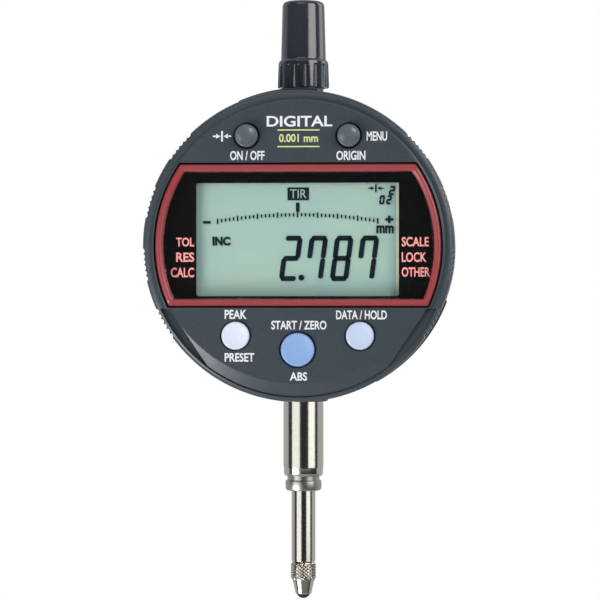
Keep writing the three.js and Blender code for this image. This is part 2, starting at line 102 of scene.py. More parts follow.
def settled(piece):
    """Moves the object's place, turn and scale into its mesh."""
    only(piece)
    bpy.ops.object.transform_apply(location=True, rotation=True, scale=True)
    return piece


def modified(piece, kind, **settings):
    """Adds a modifier, sets it and applies it."""
    only(piece)
    modifier = piece.modifiers.new(kind.title(), kind)
    for key, value in settings.items():
        setattr(modifier, key, value)
    bpy.ops.object.modifier_apply(modifier=modifier.name)
    return piece


def rounded(piece, width, segments=3, angle=35):
    """Rounds every edge sharper than angle, in degrees."""
    return modified(
        piece, "BEVEL", width=width, segments=segments, limit_method="ANGLE",
        angle_limit=math.radians(angle), use_clamp_overlap=True,
    )


def smoothed(piece, angle=32):
    """Smooth shading across shallow edges. Weighting by area keeps the large flats flat."""
    only(piece)
    bpy.ops.object.shade_smooth_by_angle(angle=math.radians(angle))
    return modified(piece, "WEIGHTED_NORMAL", mode="FACE_AREA", keep_sharp=True)


def combined(piece, others, operation):
    """Cuts the others out of piece, adds them to it, or keeps what they share with it."""
    for other in others:
        modified(piece, "BOOLEAN", object=other, operation=operation, solver="EXACT")
        bpy.data.objects.remove(other)
    return piece


def cut(piece, *tools):
    return combined(piece, tools, "DIFFERENCE")


def added(piece, *others):
    return combined(piece, others, "UNION")


def kept(piece, *others):
    return combined(piece, others, "INTERSECT")


def finished(piece, body, material, replaces=(), angle=32):
    """Smooths a piece, gives it its finish and puts it on its body."""
    smoothed(piece, angle)
    piece.data.materials.clear()
    piece.data.materials.append(material)
    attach(piece, body)
    if replaces:
        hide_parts(*replaces)
    return piece


# %% [markdown]
# Most of the pieces are turned. A turned piece starts as one corner, which is extruded along the
# outline of half its section, and that outline is spun about the axis. Where the outline comes
# round to its start, or touches the axis, its corners are merged, so that the shell is closed.


# %% Helpers for turned and flat pieces
def end_edit():
    """Turns every face outward and leaves edit mode."""
    bpy.ops.mesh.select_all(action="SELECT")
    bpy.ops.mesh.normals_make_consistent(inside=False)
    bpy.ops.object.mode_set(mode="OBJECT")


AXES = {"X": (1, 0, 0), "Y": (0, 1, 0), "Z": (0, 0, 1)}
DISPLAY_CENTRE = Vector((0, 0, CENTRE_Z))


def turned(name, profile, axis="Y", centre=(0, 0, 0), steps=128):
    """Spins a closed outline of (radius, place) points, in millimetres, about an axis."""
    centre = Vector(centre)
    out = Vector((1, 0, 0)) if axis != "X" else Vector((0, 1, 0))
    along = Vector(AXES[axis])
    points = [centre + out * r * MM + along * place * MM for r, place in profile]
    piece = fresh(name, bpy.ops.mesh.primitive_plane_add, size=MM)
    bpy.ops.object.mode_set(mode="EDIT")
    bpy.ops.mesh.select_all(action="SELECT")
    bpy.ops.mesh.merge(type="CENTER")
    bpy.ops.transform.translate(value=points[0])
    for start, end in zip(points, points[1:] + points[:1]):
        if (end - start).length > 1e-7:
            bpy.ops.mesh.extrude_region_move(TRANSFORM_OT_translate={"value": end - start})
    bpy.ops.mesh.select_all(action="SELECT")
    bpy.ops.mesh.remove_doubles(threshold=1e-7)
    bpy.ops.mesh.spin(steps=steps, angle=2 * math.pi, center=centre, axis=along)
    bpy.ops.mesh.select_all(action="SELECT")
    bpy.ops.mesh.remove_doubles(threshold=2e-6)
    bpy.ops.mesh.dissolve_degenerate(threshold=1e-7)
    bpy.ops.mesh.delete_loose()
    end_edit()
    return piece


def block(name, low, high):
    """A box between two corners, in millimetres."""
    low, high = Vector(low) * MM, Vector(high) * MM
    piece = fresh(name, bpy.ops.mesh.primitive_cube_add, size=1, location=(low + high) / 2)
    piece.scale = high - low
    return settled(piece)


def bar(name, centre, radius, length, axis="Y", vertices=48):
    """A round bar with its middle at centre, in millimetres."""
    turn = {"X": (0, math.pi / 2, 0), "Y": (math.pi / 2, 0, 0), "Z": (0, 0, 0)}[axis]
    return settled(fresh(
        name, bpy.ops.mesh.primitive_cylinder_add, vertices=vertices, radius=radius * MM,
        depth=length * MM, location=Vector(centre) * MM, rotation=turn,
    ))


def drawn_out(piece, axis, start, end):
    """Draws one half of a round bar out straight: what lies past start on an axis goes to end."""
    for vertex in piece.data.vertices:
        if (vertex.co[axis] / MM - start) * (end - start) > 0.01:
            vertex.co[axis] = end * MM
    bpy.ops.object.mode_set(mode="EDIT")
    bpy.ops.mesh.select_all(action="SELECT")
    bpy.ops.mesh.dissolve_limited(angle_limit=math.radians(1))
    bpy.ops.object.mode_set(mode="OBJECT")
    return piece


def copied(piece, name, turn=None, axis="Y", centre=(0, 0, 0), move=(0, 0, 0)):
    """A copy with its own mesh, turned by an angle in degrees about centre, then moved."""
    copy = piece.copy()
    copy.data = piece.data.copy()
    copy.name = name
    bpy.context.collection.objects.link(copy)
    place = Matrix.Translation(Vector(move))
    if turn is not None:
        about = Matrix.Translation(Vector(centre))
        place = place @ about @ Matrix.Rotation(math.radians(turn), 4, axis) @ about.inverted()
    copy.data.transform(place)
    return copy


def joined(name, pieces):
    """One object of several, each still a shell of its own."""
    bpy.ops.object.select_all(action="DESELECT")
    for piece in pieces:
        piece.select_set(True)
    bpy.context.view_layer.objects.active = pieces[0]
    if len(pieces) > 1:
        bpy.ops.object.join()
    pieces[0].name = name
    return pieces[0]


# %% [markdown]
# ## Finishes
#
# No real surface is one flat colour. Each finish here starts from the Principled shader and lets
# fine noise vary its colour, its roughness and its relief. The noise reads Object coordinates,
# and stretching them along an axis turns specks into the rings that a lathe or a grinder leaves.


# %% A finish with grain
def linear(red, green, blue):
    """A colour given from 0 to 255 as it looks on a screen, as the shader wants it."""
    def channel(value):
        value /= 255
        return value / 12.92 if value <= 0.04045 else ((value + 0.055) / 1.055) ** 2.4
    return (channel(red), channel(green), channel(blue), 1)


def link(material, start, out, end, into):
    material.node_tree.links.new(start.outputs[out], end.inputs[into])


def node(material, kind, **inputs):
    made = material.node_tree.nodes.new("ShaderNode" + kind)
    for key, value in inputs.items():
        made.inputs[key.replace("_", " ")].default_value = value
    return made


def noise_of(material, grain, stretch=(1, 1, 1), detail=3.0):
    """Noise with grains of a size in millimetres, in the piece's own coordinates."""
    coordinates = node(material, "TexCoord")
    mapping = node(material, "Mapping", Scale=stretch)
    noise = node(material, "TexNoise", Scale=1 / (grain * MM), Detail=detail)
    link(material, coordinates, "Object", mapping, "Vector")
    link(material, mapping, "Vector", noise, "Vector")
    return noise


def ramp_between(material, source, out, low, high, start=0.3, end=0.7):
    """A colour ramp that runs from low to high as the source goes from start to end."""
    ramp = node(material, "ValToRGB")
    ramp.color_ramp.elements[0].position, ramp.color_ramp.elements[0].color = start, low
    ramp.color_ramp.elements[1].position, ramp.color_ramp.elements[1].color = end, high
    link(material, source, out, ramp, "Fac")
    return ramp


def grained(name, colour, roughness, metallic=0.0, grain=0.2, relief=0.004, variation=0.08,
            stretch=(1, 1, 1), spread=0.06, gloss=0.5):
    """A finish whose colour, roughness and relief vary by noise. grain and relief are in mm."""
    material = bpy.data.materials.new(name)
    material.use_nodes = True
    shader = material.node_tree.nodes["Principled BSDF"]
    shader.inputs["Metallic"].default_value = metallic
    shader.inputs["Specular IOR Level"].default_value = gloss
    noise = noise_of(material, grain, stretch)
    dark = [c * (1 - variation) for c in colour[:3]] + [1]
    light = [min(1, c * (1 + variation)) for c in colour[:3]] + [1]
    tint = ramp_between(material, noise, "Fac", dark, light)
    link(material, tint, "Color", shader, "Base Color")
    broad = noise_of(material, grain * 14, stretch)
    rough = node(material, "MapRange")
    rough.inputs["To Min"].default_value = max(0.02, roughness - spread)
    rough.inputs["To Max"].default_value = roughness + spread
    link(material, broad, "Fac", rough, "Value")
    link(material, rough, "Result", shader, "Roughness")
    bump = node(material, "Bump", Strength=1.0, Distance=relief * MM)
    link(material, noise, "Fac", bump, "Height")
    link(material, bump, "Normal", shader, "Normal")
    return material


# %% [markdown]
# The plastics are dyed right through and moulded against a fine eroded surface, so they are matt
# with a soft gloss at a low angle. The steels are ground or turned, so their grain runs in rings
# round the axis: there the noise is left broad across the axis and pressed thin along it.

# %% The finishes of this indicator
RINGS_Z = (1, 1, 60)
front_plastic = grained("front_plastic", linear(64, 73, 80), 0.36, relief=0.006, variation=0.2,
                        grain=0.14)
case_plastic = grained("case_plastic", linear(54, 59, 65), 0.32, relief=0.005, grain=0.25)
cap_plastic = grained("cap_plastic", linear(50, 56, 63), 0.15, relief=0.0005, gloss=0.8)
black_plastic = grained("black_plastic", linear(22, 22, 24), 0.45)
black_print = grained("black_print", linear(8, 8, 9), 0.25, relief=0.0003, variation=0.04,
                      gloss=0.2)
red_trim = grained("red_trim", linear(162, 70, 74), 0.24, relief=0.001, grain=0.15)
steel = grained("polished_steel", linear(206, 203, 196), 0.16, 1.0, grain=6, relief=0.0004,
                variation=0.04, stretch=RINGS_Z, spread=0.03)
satin_steel = grained("satin_steel", linear(178, 176, 171), 0.33, 1.0, grain=5, relief=0.001,
                      variation=0.07, stretch=RINGS_Z)
carbide = grained("carbide", linear(62, 62, 66), 0.22, 0.9, grain=0.1, relief=0.0005)
brass = grained("bush_brass", linear(200, 160, 84), 0.28, 1.0, grain=5, relief=0.003,
                stretch=RINGS_Z)
rubber = grained("black_rubber", linear(20, 20, 22), 0.7, grain=0.12, relief=0.006, gloss=0.25)
silicone = grained("silicone", linear(188, 190, 194), 0.6, relief=0.003)
KEY_COLOURS = {
    "grey_key": linear(92, 101, 107), "white_key": linear(230, 236, 255),
    "blue_key": linear(145, 180, 230), "pale_blue_key": linear(203, 218, 246),
}
keys = {slot: grained(slot, colour, 0.36, relief=0.002, variation=0.03)
        for slot, colour in KEY_COLOURS.items()}
white_ink = grained("white_ink", linear(240, 243, 245), 0.5, variation=0.02, grain=0.08)
salmon_ink = grained("salmon_ink", linear(236, 150, 146), 0.5, variation=0.03, grain=0.08)
pale_ink = grained("pale_yellow_ink", linear(228, 230, 158), 0.5, variation=0.03, grain=0.08)
print(len(bpy.data.materials), "finishes so far")

# %% [markdown]
# The boards, the flat cable, the scale and the liquid crystal need a pattern of their own. A wave
# texture gives evenly spaced lines, for copper tracks, cable strands and scale graduations.


# %% Patterned finishes
def lined(name, ground, lines, pitch, width, roughness, axis="X", metallic=0.0):
    """Lines of one colour on another, pitch apart in mm. width is the lines' share of the pitch."""
    material = bpy.data.materials.new(name)
    material.use_nodes = True
    shader = material.node_tree.nodes["Principled BSDF"]
    shader.inputs["Roughness"].default_value = roughness
    shader.inputs["Metallic"].default_value = metallic
    coordinates = node(material, "TexCoord")
    wave = node(material, "TexWave", Scale=math.pi / 10 / (pitch * MM))
    wave.bands_direction = axis
    link(material, coordinates, "Object", wave, "Vector")
    ramp = ramp_between(material, wave, "Fac", ground, lines, 1 - width, 1.02 - width)
    link(material, ramp, "Color", shader, "Base Color")
    return material


board_green = lined("circuit_board", linear(24, 84, 56), linear(40, 112, 76), 1.3, 0.35, 0.4)
amber_film = lined("amber_film", linear(176, 104, 36), linear(120, 62, 26), 0.6, 0.4, 0.35, "Y")
scale_glass = lined("scale_glass", linear(170, 190, 190), linear(60, 70, 74), 0.5, 0.3, 0.15, "Z",
                    metallic=0.2)

# %% [markdown]
# A reflective liquid crystal display is a sandwich of glass on a pearly grey-green reflector. It
# has no light of its own, and its tone drifts a little over its face. A pale strip down its right
# edge is a painted highlight, for the light that the edge of the display's opening catches.


# %% The display's ground and its segments
def screen_finish():
    material = grained("lcd_ground", linear(146, 174, 166), 0.38, grain=0.35, relief=0.0004)
    shader = material.node_tree.nodes["Principled BSDF"]
    drift = noise_of(material, 16, detail=6)
    cool, warm = linear(143, 173, 168), linear(152, 177, 161)
    tint = ramp_between(material, drift, "Fac", cool, warm, 0.35, 0.65)
    link(material, tint, "Color", shader, "Base Color")
    shader.inputs["Coat Weight"].default_value = 0.3
    shader.inputs["Coat Roughness"].default_value = 0.12
    return material


lcd_ground = screen_finish()
# Painted highlight: a pale finish for the strip that stands for light caught by the right edge of
# the opening.
lcd_edge_highlight = grained("lcd_edge_highlight", linear(196, 202, 188), 0.4, variation=0.02)
lcd_ink = grained("lcd_ink", linear(12, 26, 32), 0.35, relief=0.0003, variation=0.05, gloss=0.2)
lcd_shadow = grained("lcd_shadow", linear(122, 149, 142), 0.4, relief=0.0003, variation=0.03)


# %% [markdown]
# The window is clear acrylic. Light has to get through it to the display, and a renderer that
# traces only what the camera sees would put the display in shadow, so the glass is swapped for a
# plain transparent shader when a shadow is being asked for.


# %% The window's finish
def clear_finish():
    material = bpy.data.materials.new("clear_window")
    material.use_nodes = True
    tree = material.node_tree
    shader = tree.nodes["Principled BSDF"]
    shader.inputs["Base Color"].default_value = (0.97, 0.98, 0.98, 1)
    shader.inputs["Roughness"].default_value = 0.03
    shader.inputs["IOR"].default_value = 1.49
    shader.inputs["Transmission Weight"].default_value = 1.0
    path = node(material, "LightPath")
    through = node(material, "BsdfTransparent")
    mix = node(material, "MixShader")
    link(material, path, "Is Shadow Ray", mix, "Fac")
    tree.links.new(shader.outputs["BSDF"], mix.inputs[1])
    tree.links.new(through.outputs["BSDF"], mix.inputs[2])
    link(material, mix, "Shader", tree.nodes["Material Output"], "Surface")
    return material


clear_window = clear_finish()

# %% [markdown]
# ## The bezel
#
# The bezel is the moulded front of the display: a flat face with a window and five key holes, a
# shallow step round it, a rounded rim and a chin that slopes away from the lower face. It is
# turned in one piece, and then the chin is added and the openings are cut.

# %% Outlines of the window and the chin
WINDOW_R = 27.95
WINDOW_TOP, WINDOW_BOTTOM = 16.0, -11.9
centre_mm = CENTRE_Z / MM


def window_outline(name, inset, rear):
    """One face of the window's shape: a disc cut off level above and below.

    Arc points close to a corner are dissolved, so that a later inset has room there. The face is
    left selected in edit mode.
    """
    disc = fresh(name, bpy.ops.mesh.primitive_circle_add, vertices=192, fill_type="NGON",
                 radius=(WINDOW_R - inset) * MM, rotation=(math.pi / 2, 0, 0),
                 location=(0, rear * MM, CENTRE_Z))
    settled(disc)
    bpy.ops.object.mode_set(mode="EDIT")
    for level, upward in ((WINDOW_TOP - inset, 1), (WINDOW_BOTTOM + inset, -1)):
        bpy.ops.mesh.select_all(action="SELECT")
        bpy.ops.mesh.bisect(plane_co=(0, 0, CENTRE_Z + level * MM), plane_no=(0, 0, upward),
                            clear_outer=True)
    bpy.ops.mesh.select_all(action="DESELECT")
    bpy.ops.object.mode_set(mode="OBJECT")
    top, bottom = CENTRE_Z + (WINDOW_TOP - inset) * MM, CENTRE_Z + (WINDOW_BOTTOM + inset) * MM
    points = disc.data.vertices
    corners = [p for p in points if min(abs(p.co.z - top), abs(p.co.z - bottom)) < 0.001 * MM]
    for point in points:
        nearest = min((point.co - corner.co).length for corner in corners)
        point.select = 0 < nearest < 0.85 * MM
    bpy.ops.object.mode_set(mode="EDIT")
    bpy.ops.mesh.dissolve_verts()
    bpy.ops.mesh.select_all(action="SELECT")
    return disc


def window_slab(name, inset, front, rear, flare=0.0):
    """A slab of the window's outline, between two depths."""
    disc = window_outline(name, inset, rear)
    depth = (front - rear) * MM
    bpy.ops.mesh.extrude_region_move(TRANSFORM_OT_translate={"value": (0, depth, 0)})
    if flare:
        middle = CENTRE_Z + (WINDOW_TOP + WINDOW_BOTTOM) / 2 * MM
        grow = 1 + flare / WINDOW_R, 1, 1 + 2 * flare / (WINDOW_TOP - WINDOW_BOTTOM)
        bpy.ops.transform.resize(value=grow, center_override=(0, front * MM, middle))
    end_edit()
    return disc


def chin_outline(name):
    """An upright prism over the part of the face that the chin takes up."""
    disc = fresh(name, bpy.ops.mesh.primitive_plane_add, size=62 * MM,
                 rotation=(math.pi / 2, 0, 0), location=(0, -14 * MM, CENTRE_Z))
    settled(disc)
    bpy.ops.object.mode_set(mode="EDIT")
    across, down = 9.4, -14.2
    length = math.hypot(across, down)
    for side in (1, -1):
        bpy.ops.mesh.select_all(action="SELECT")
        corner = (side * 24.9 * MM, 0, CENTRE_Z - 12.2 * MM)
        outward = (-side * down / length, 0, -across / length)
        bpy.ops.mesh.bisect(plane_co=corner, plane_no=outward, clear_outer=True)
    bpy.ops.mesh.select_all(action="SELECT")
    bpy.ops.mesh.bisect(plane_co=(0, 0, CENTRE_Z - 12.2 * MM), plane_no=(0, 0, 1), clear_outer=True)
    bpy.ops.mesh.select_all(action="SELECT")
    bpy.ops.mesh.extrude_region_move(TRANSFORM_OT_translate={"value": (0, -5 * MM, 0)})
    end_edit()
    return disc


# %% [markdown]
# The keys are in the frame already, so each hole is cut round its key's own box. A hole's cutter
# is turned with a flared mouth, which leaves a small chamfer, as a mould does.

# %% Turn the bezel and cut it
KEY_NODES = ("power_button", "origin_button", "peak_button", "zero_button", "data_button")
CHIN_RISE = 1.93
display_at = (0, 0, CENTRE_Z)


def key_place(name):
    """A key's x and z from the display's centre, and the radius of its head, in mm."""
    low, high = (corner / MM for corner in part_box(name))
    flange = 0.7
    head = (high.x - low.x) / 2 - flange
    return (low.x + high.x) / 2, (low.z + high.z) / 2 - centre_mm, head


def bezel_shell():
    rim = RIM_R / MM
    return turned("bezel_front", [
        (0, FACE), (27.95, FACE), (28.1, FACE + 0.05), (28.3, FACE + 0.3), (28.35, -17.3),
        (28.5, -17.2), (29.1, -17.2), (29.6, -17.1), (29.95, -16.9), (30.2, -16.55), (30.3, -16.1),
        (rim - 0.02, -8), (rim - 0.1, -7.4), (rim - 0.35, -7.1), (28.7, -7.1), (28.7, -15.4),
        (27.8, -16.3), (0, -16.3),
    ], centre=display_at, steps=192)


def chin_recess():
    """The channel below the face: the chin then fills it but for a fine groove and two corners."""
    channel = bar("chin_recess", (0, -17.8, centre_mm), 29.42, 2.4, vertices=256)
    face = bar("face_edge", (0, -17.8, centre_mm + CHIN_RISE), 28.6, 4, vertices=256)
    above = block("above_chin", (-40, -20, centre_mm - 12.2), (40, -15, centre_mm + 40))
    return cut(channel, face, above)


def chin_slope():
    slope = turned("chin", [
        (0, FACE), (28.5, FACE), (28.65, FACE + 0.03), (28.8, FACE + 0.1), (33, -15.95),
        (33, -15.7), (28, -16.3), (0, -16.3),
    ], centre=(0, 0, CENTRE_Z + CHIN_RISE * MM), steps=192)
    limit = bar("chin_limit", (0, -17, centre_mm), 29.15, 6, vertices=192)
    return kept(slope, chin_outline("chin_prism"), limit)


def key_hole(name):
    x, z, r = key_place(name)
    hole = r + 0.3
    return turned("hole_" + name, [
        (0, -19), (hole + 0.62, -19), (hole + 0.12, FACE), (hole, FACE + 0.14), (hole, -14),
        (0, -14),
    ], centre=(x * MM, 0, (centre_mm + z) * MM), steps=64)


bezel = added(cut(bezel_shell(), chin_recess()), chin_slope())
cut(bezel, window_slab("window_cut", 0, FACE - 0.2, -15, flare=0.12))
cut(bezel, *[key_hole(name) for name in KEY_NODES])
print("bezel:", len(bezel.data.polygons), "faces")

# %% [markdown]
# Fingers turn the display by its rim, so the rim has groups of short grip ribs. The ribs are what
# is left between round grooves: one groove is made, and copied round the rim in each group.

# %% Grip ribs on the rim
RIB_GROUPS = (40, 16.5, -7, -30, 140, 163.5, 187, 210)
RIB_PITCH = 2.05
GROOVES_IN_GROUP = 6
GROOVE_R, GROOVE_LENGTH = 0.52, 10.8
RIM_DRAFT = 0.7  # degrees by which the rim's side leans


def rim_grooves():
    middle = (RIM_R / MM + 0.03, -11.7, centre_mm)
    upright = bar("upright_groove", middle, GROOVE_R, GROOVE_LENGTH, vertices=12)
    rounded(upright, 0.25 * MM, 2, 60)
    groove = copied(upright, "groove", -RIM_DRAFT, "Z", Vector(middle) * MM)
    bpy.data.objects.remove(upright)
    copies = []
    for group in RIB_GROUPS:
        for i in range(GROOVES_IN_GROUP):
            angle = group + (i - (GROOVES_IN_GROUP - 1) / 2) * RIB_PITCH
            copies.append(copied(groove, "groove_copy", -angle, "Y", display_at))
    bpy.data.objects.remove(groove)
    return joined("rim_grooves", copies)


cut(bezel, rim_grooves())
finished(bezel, "display", front_plastic, ["bezel"], angle=28)
print("bezel with ribs:", len(bezel.data.polygons), "faces")

# %% [markdown]
# ## The window
#
# A red frame is pressed into the window and holds the clear acrylic. Behind the acrylic lies a
# thin plate printed black, with an opening for the display. All three share the window's outline,
# a little smaller each time. The frame is half round, as a moulded bead is. It could be a bevelled
# ring, but a wide bevel tears at sharp corners. A row of small insets, each a little higher and
# then a little lower than the last, keeps the corners mitred.

# %% Frame, glass and printed plate
BEAD_STEPS = 10


def half_round_frame(name, inset, width, height, front, rear):
    """A ring of the window's outline whose front is half round. Insets keep its corners mitred."""
    ring = window_outline(name, inset, rear)
    wall = (0, (front + height - rear) * MM, 0)
    bpy.ops.mesh.extrude_region_move(TRANSFORM_OT_translate={"value": wall})
    turns = [math.pi * i / BEAD_STEPS for i in range(BEAD_STEPS + 1)]
    for here, beyond in zip(turns, turns[1:]):
        bpy.ops.mesh.inset(thickness=width / 2 * (math.cos(here) - math.cos(beyond)) * MM,
                           depth=height * (math.sin(beyond) - math.sin(here)) * MM)
    back = tuple(-step for step in wall)
    bpy.ops.mesh.extrude_region_move(TRANSFORM_OT_translate={"value": back})
    bpy.ops.mesh.delete(type="FACE")
    bpy.ops.mesh.select_face_by_sides(number=4, type="GREATER", extend=False)
    bpy.ops.mesh.delete(type="ONLY_FACE")
    bpy.ops.mesh.select_all(action="DESELECT")
    bpy.ops.mesh.select_non_manifold()
    bpy.ops.mesh.bridge_edge_loops()
    end_edit()
    return ring


BEAD_WIDTH = 1.48
trim = half_round_frame("red_frame", 0.12, BEAD_WIDTH, BEAD_WIDTH / 2, -17.85, -15.9)
print("frame:", len(trim.data.polygons), "faces")
finished(trim, "display", red_trim, ["window_frame"])

glass = window_slab("window_glass", 1.75, -17.1, -15.9)
rounded(glass, 0.05 * MM, 2)
finished(glass, "display", clear_window, ["window_lens"])

SCREEN_X = (-19.9, 19.5)
SCREEN_Z = (-9.75, 13.6)
plate = window_slab("printed_plate", 0.35, -15.6, -15.0)
opening = block("screen_opening", (SCREEN_X[0], -17, centre_mm + SCREEN_Z[0]),
                (SCREEN_X[1], -14, centre_mm + SCREEN_Z[1]))
rounded(opening, 0.5 * MM, 3)
cut(plate, opening)
finished(plate, "display", black_print, ["window_mask"])

# %% [markdown]
# ## The display panel
#
# The glass panel sits behind the opening. A black strip above it is a painted shadow, for the shade
# that the opening's upper edge casts there, and a pale strip down its right side is a painted
# highlight, for the light that the opening's edge catches. The segments are thin solids just proud
# of the panel. Under each lies its own soft shadow on the reflector, a little down and to the
# right, as a real display shows it.

# %% Panel, painted shadow strip and painted highlight strip
panel_low, panel_high = (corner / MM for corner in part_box("lcd_panel"))
panel = rounded(block("lcd_glass", panel_low, panel_high), 0.2 * MM, 2)
finished(panel, "display", lcd_ground, ["lcd_panel"])
PANEL_Y = panel_low.y
# Painted shadow: this black strip stands for the shade that the opening's upper edge casts on the
# panel.
painted_shadow_strip = block("panel_shadow_strip", (SCREEN_X[0] - 1, PANEL_Y - 0.75, centre_mm + SCREEN_Z[1] - 1.35),
             (SCREEN_X[1] + 1, PANEL_Y - 0.04, centre_mm + SCREEN_Z[1] + 1))
finished(rounded(painted_shadow_strip, 0.15 * MM, 2), "display", black_print)
# Painted highlight: this pale strip down the panel's right side stands for the light that the
# opening's edge catches.
edge = block("panel_edge_highlight", (SCREEN_X[1] - 0.55, PANEL_Y - 0.12, centre_mm + SCREEN_Z[0] - 0.8),
             (SCREEN_X[1] + 0.5, PANEL_Y - 0.04, centre_mm + SCREEN_Z[1] - 1.4))
finished(rounded(edge, 0.03 * MM, 2), "display", lcd_edge_highlight)

# %% [markdown]
# A digit has seven segments. One upright segment is a narrow plate whose ends are bevelled to
# points. It is copied for the segments that each figure lights, and the figure is then slanted.
# Slanting is one matrix, because the shear operator needs a window.

# %% Seven-segment figures
SEGMENTS = {  # x and z of the middle, in half widths and half heights, and whether it lies level
    "top": (0, 2, True), "upper_left": (-1, 1, False), "upper_right": (1, 1, False),
    "middle": (0, 0, True), "lower_left": (-1, -1, False), "lower_right": (1, -1, False),
    "bottom": (0, -2, True),
}
LIT = {
    "0": "top upper_left upper_right lower_left lower_right bottom",
    "2": "top upper_right middle lower_left bottom",
    "7": "top upper_left upper_right lower_right",
    "8": "top upper_left upper_right middle lower_left lower_right bottom",
}
SLANT = math.tan(math.radians(7.5))
INK_DEPTH = 0.03


def segment(length, width):
    """A level segment round the origin, in mm, with pointed ends."""
    plate = fresh("segment", bpy.ops.mesh.primitive_plane_add, size=1, rotation=(math.pi / 2, 0, 0))
    plate.scale = (length * MM, width * MM, 1)
    settled(plate)
    bpy.ops.object.mode_set(mode="EDIT")
    bpy.ops.mesh.select_all(action="SELECT")
    bpy.ops.mesh.bevel(offset=width * 0.38 * MM, segments=2, affect="VERTICES")
    bpy.ops.mesh.select_all(action="SELECT")
    bpy.ops.mesh.extrude_region_move(TRANSFORM_OT_translate={"value": (0, -INK_DEPTH * MM, 0)})
    end_edit()
    return plate


def figure(digit, width, height, stroke):
    """A seven-segment figure round the origin. width and height are between segment middles."""
    gap = 0.12 * stroke
    level = segment(width + stroke * 0.45 - gap, stroke)
    upright = segment(height / 2 + stroke * 0.1 - gap, stroke)
    made = []
    for part in LIT[digit].split():
        x, z, lies = SEGMENTS[part]
        place = (x * width / 2 * MM, 0, z * height / 4 * MM)
        source, turn = (level, 0) if lies else (upright, 90)
        made.append(copied(source, "lit_" + part, turn, "Y", (0, 0, 0), place))
    for source in (level, upright):
        bpy.data.objects.remove(source)
    shape = joined("figure_" + digit, made)
    shape.data.transform(Matrix(((1, 0, SLANT, 0), (0, 1, 0, 0), (0, 0, 1, 0), (0, 0, 0, 1))))
    return shape


def on_panel(piece, x, z, lift=0.05):
    """Moves a piece made round the origin to its place on the panel, in mm from the centre."""
    piece.data.transform(Matrix.Translation((x * MM, (PANEL_Y - lift) * MM, CENTRE_Z + z * MM)))
    return piece


# %% [markdown]
# The reading is 2.787. Its figures stand 4.95 mm apart, and the small 2 and 0.2 in the corner are
# the same shapes at another size.

# %% The reading
READING = {"2": (-1.55,), "7": (3.4, 13.35), "8": (8.35,)}
DIGIT_Z = -2.4
DIGIT_WIDTH, DIGIT_HEIGHT, STROKE = 2.62, 7.85, 0.98


def reading():
    figures = []
    for digit, places in READING.items():
        for x in places:
            figures.append(on_panel(figure(digit, DIGIT_WIDTH, DIGIT_HEIGHT, STROKE), x, DIGIT_Z))
    point = fresh("point", bpy.ops.mesh.primitive_cylinder_add, vertices=24, radius=0.58 * MM,
                  depth=INK_DEPTH * MM, rotation=(math.pi / 2, 0, 0))
    figures.append(on_panel(settled(point), 0.5, -6.15, 0.065))
    figures.append(on_panel(figure("2", 0.78, 1.42, 0.38), 18.15, 10.75))
    figures.append(on_panel(figure("0", 0.66, 1.42, 0.38), 16.2, 8.95))
    figures.append(on_panel(figure("2", 0.66, 1.42, 0.38), 17.55, 8.95))
    return joined("lcd_reading", figures)


lcd_pieces = [reading()]

# %% [markdown]
# Over the reading runs a curved scale with a pointer. Its graduations stand on the arc of a large
# circle, and every fifth is longer, so they come from one bar and a loop.

# %% The analogue scale
SCALE_X, SCALE_HALF, SCALE_TOP, SCALE_SAG = -0.25, 15.6, 6.1, 1.25


def graduations():
    marks = []
    arc_r = (SCALE_HALF ** 2 + SCALE_SAG ** 2) / (2 * SCALE_SAG)
    for i in range(-20, 21):
        x = SCALE_HALF * i / 20
        z = SCALE_TOP - (arc_r - math.sqrt(arc_r ** 2 - x ** 2))
        half = 0.52 if i % 5 == 0 else 0.33
        mark = block("mark", (x - 0.15, -INK_DEPTH, z - half), (x + 0.15, 0, z + half))
        marks.append(on_panel(mark, SCALE_X, 0))
    needle = rounded(block("pointer", (-0.36, -INK_DEPTH, -0.9), (0.36, 0, 0.9)), 0.1 * MM, 2)
    marks.append(on_panel(needle, -0.2, 7.55))
    minus = block("minus", (-0.75, -INK_DEPTH, -0.25), (0.75, 0, 0.25))
    marks.append(on_panel(minus, -17.95, 4.65))
    arms = (0.78, 0.26), (0.26, 0.72)
    strokes = [block("plus", (-x, -INK_DEPTH, -z), (x, 0, z)) for x, z in arms]
    marks.append(on_panel(added(*strokes), 17.6, 5.15))
    return joined("lcd_scale", marks)


lcd_pieces.append(graduations())

# %% [markdown]
# ## Lettering
#
# A key's name is printed on the face. Text is typed as a curve, made a mesh, and fitted to the
# box that the print fills. The words are plain key names. The larger word at the top and the
# figure below it say only what kind of tool this is and how finely it reads.


# %% Typed print
def printed(name, words, left, right, low, high, front, thick=0.03, bold=0.0):
    """Words as a thin solid that fills a box on the face, in mm from the display's centre."""
    bpy.ops.object.select_all(action="DESELECT")
    bpy.ops.object.text_add(rotation=(math.pi / 2, 0, 0))
    text = bpy.context.object
    text.name = name
    text.data.body = words
    text.data.extrude = 0.5
    text.data.offset = bold
    text.data.resolution_u = 4
    bpy.ops.object.convert(target="MESH")
    settled(text)
    corners = [v.co for v in text.data.vertices]
    lows = Vector([min(c[i] for c in corners) for i in range(3)])
    highs = Vector([max(c[i] for c in corners) for i in range(3)])
    size = highs - lows
    grow = Matrix.Diagonal((
        (right - left) * MM / size.x, thick * MM / size.y, (high - low) * MM / size.z, 1))
    place = Matrix.Translation((left * MM, (front - thick) * MM, CENTRE_Z + low * MM))
    text.data.transform(place @ grow @ Matrix.Translation(-lows))
    return text


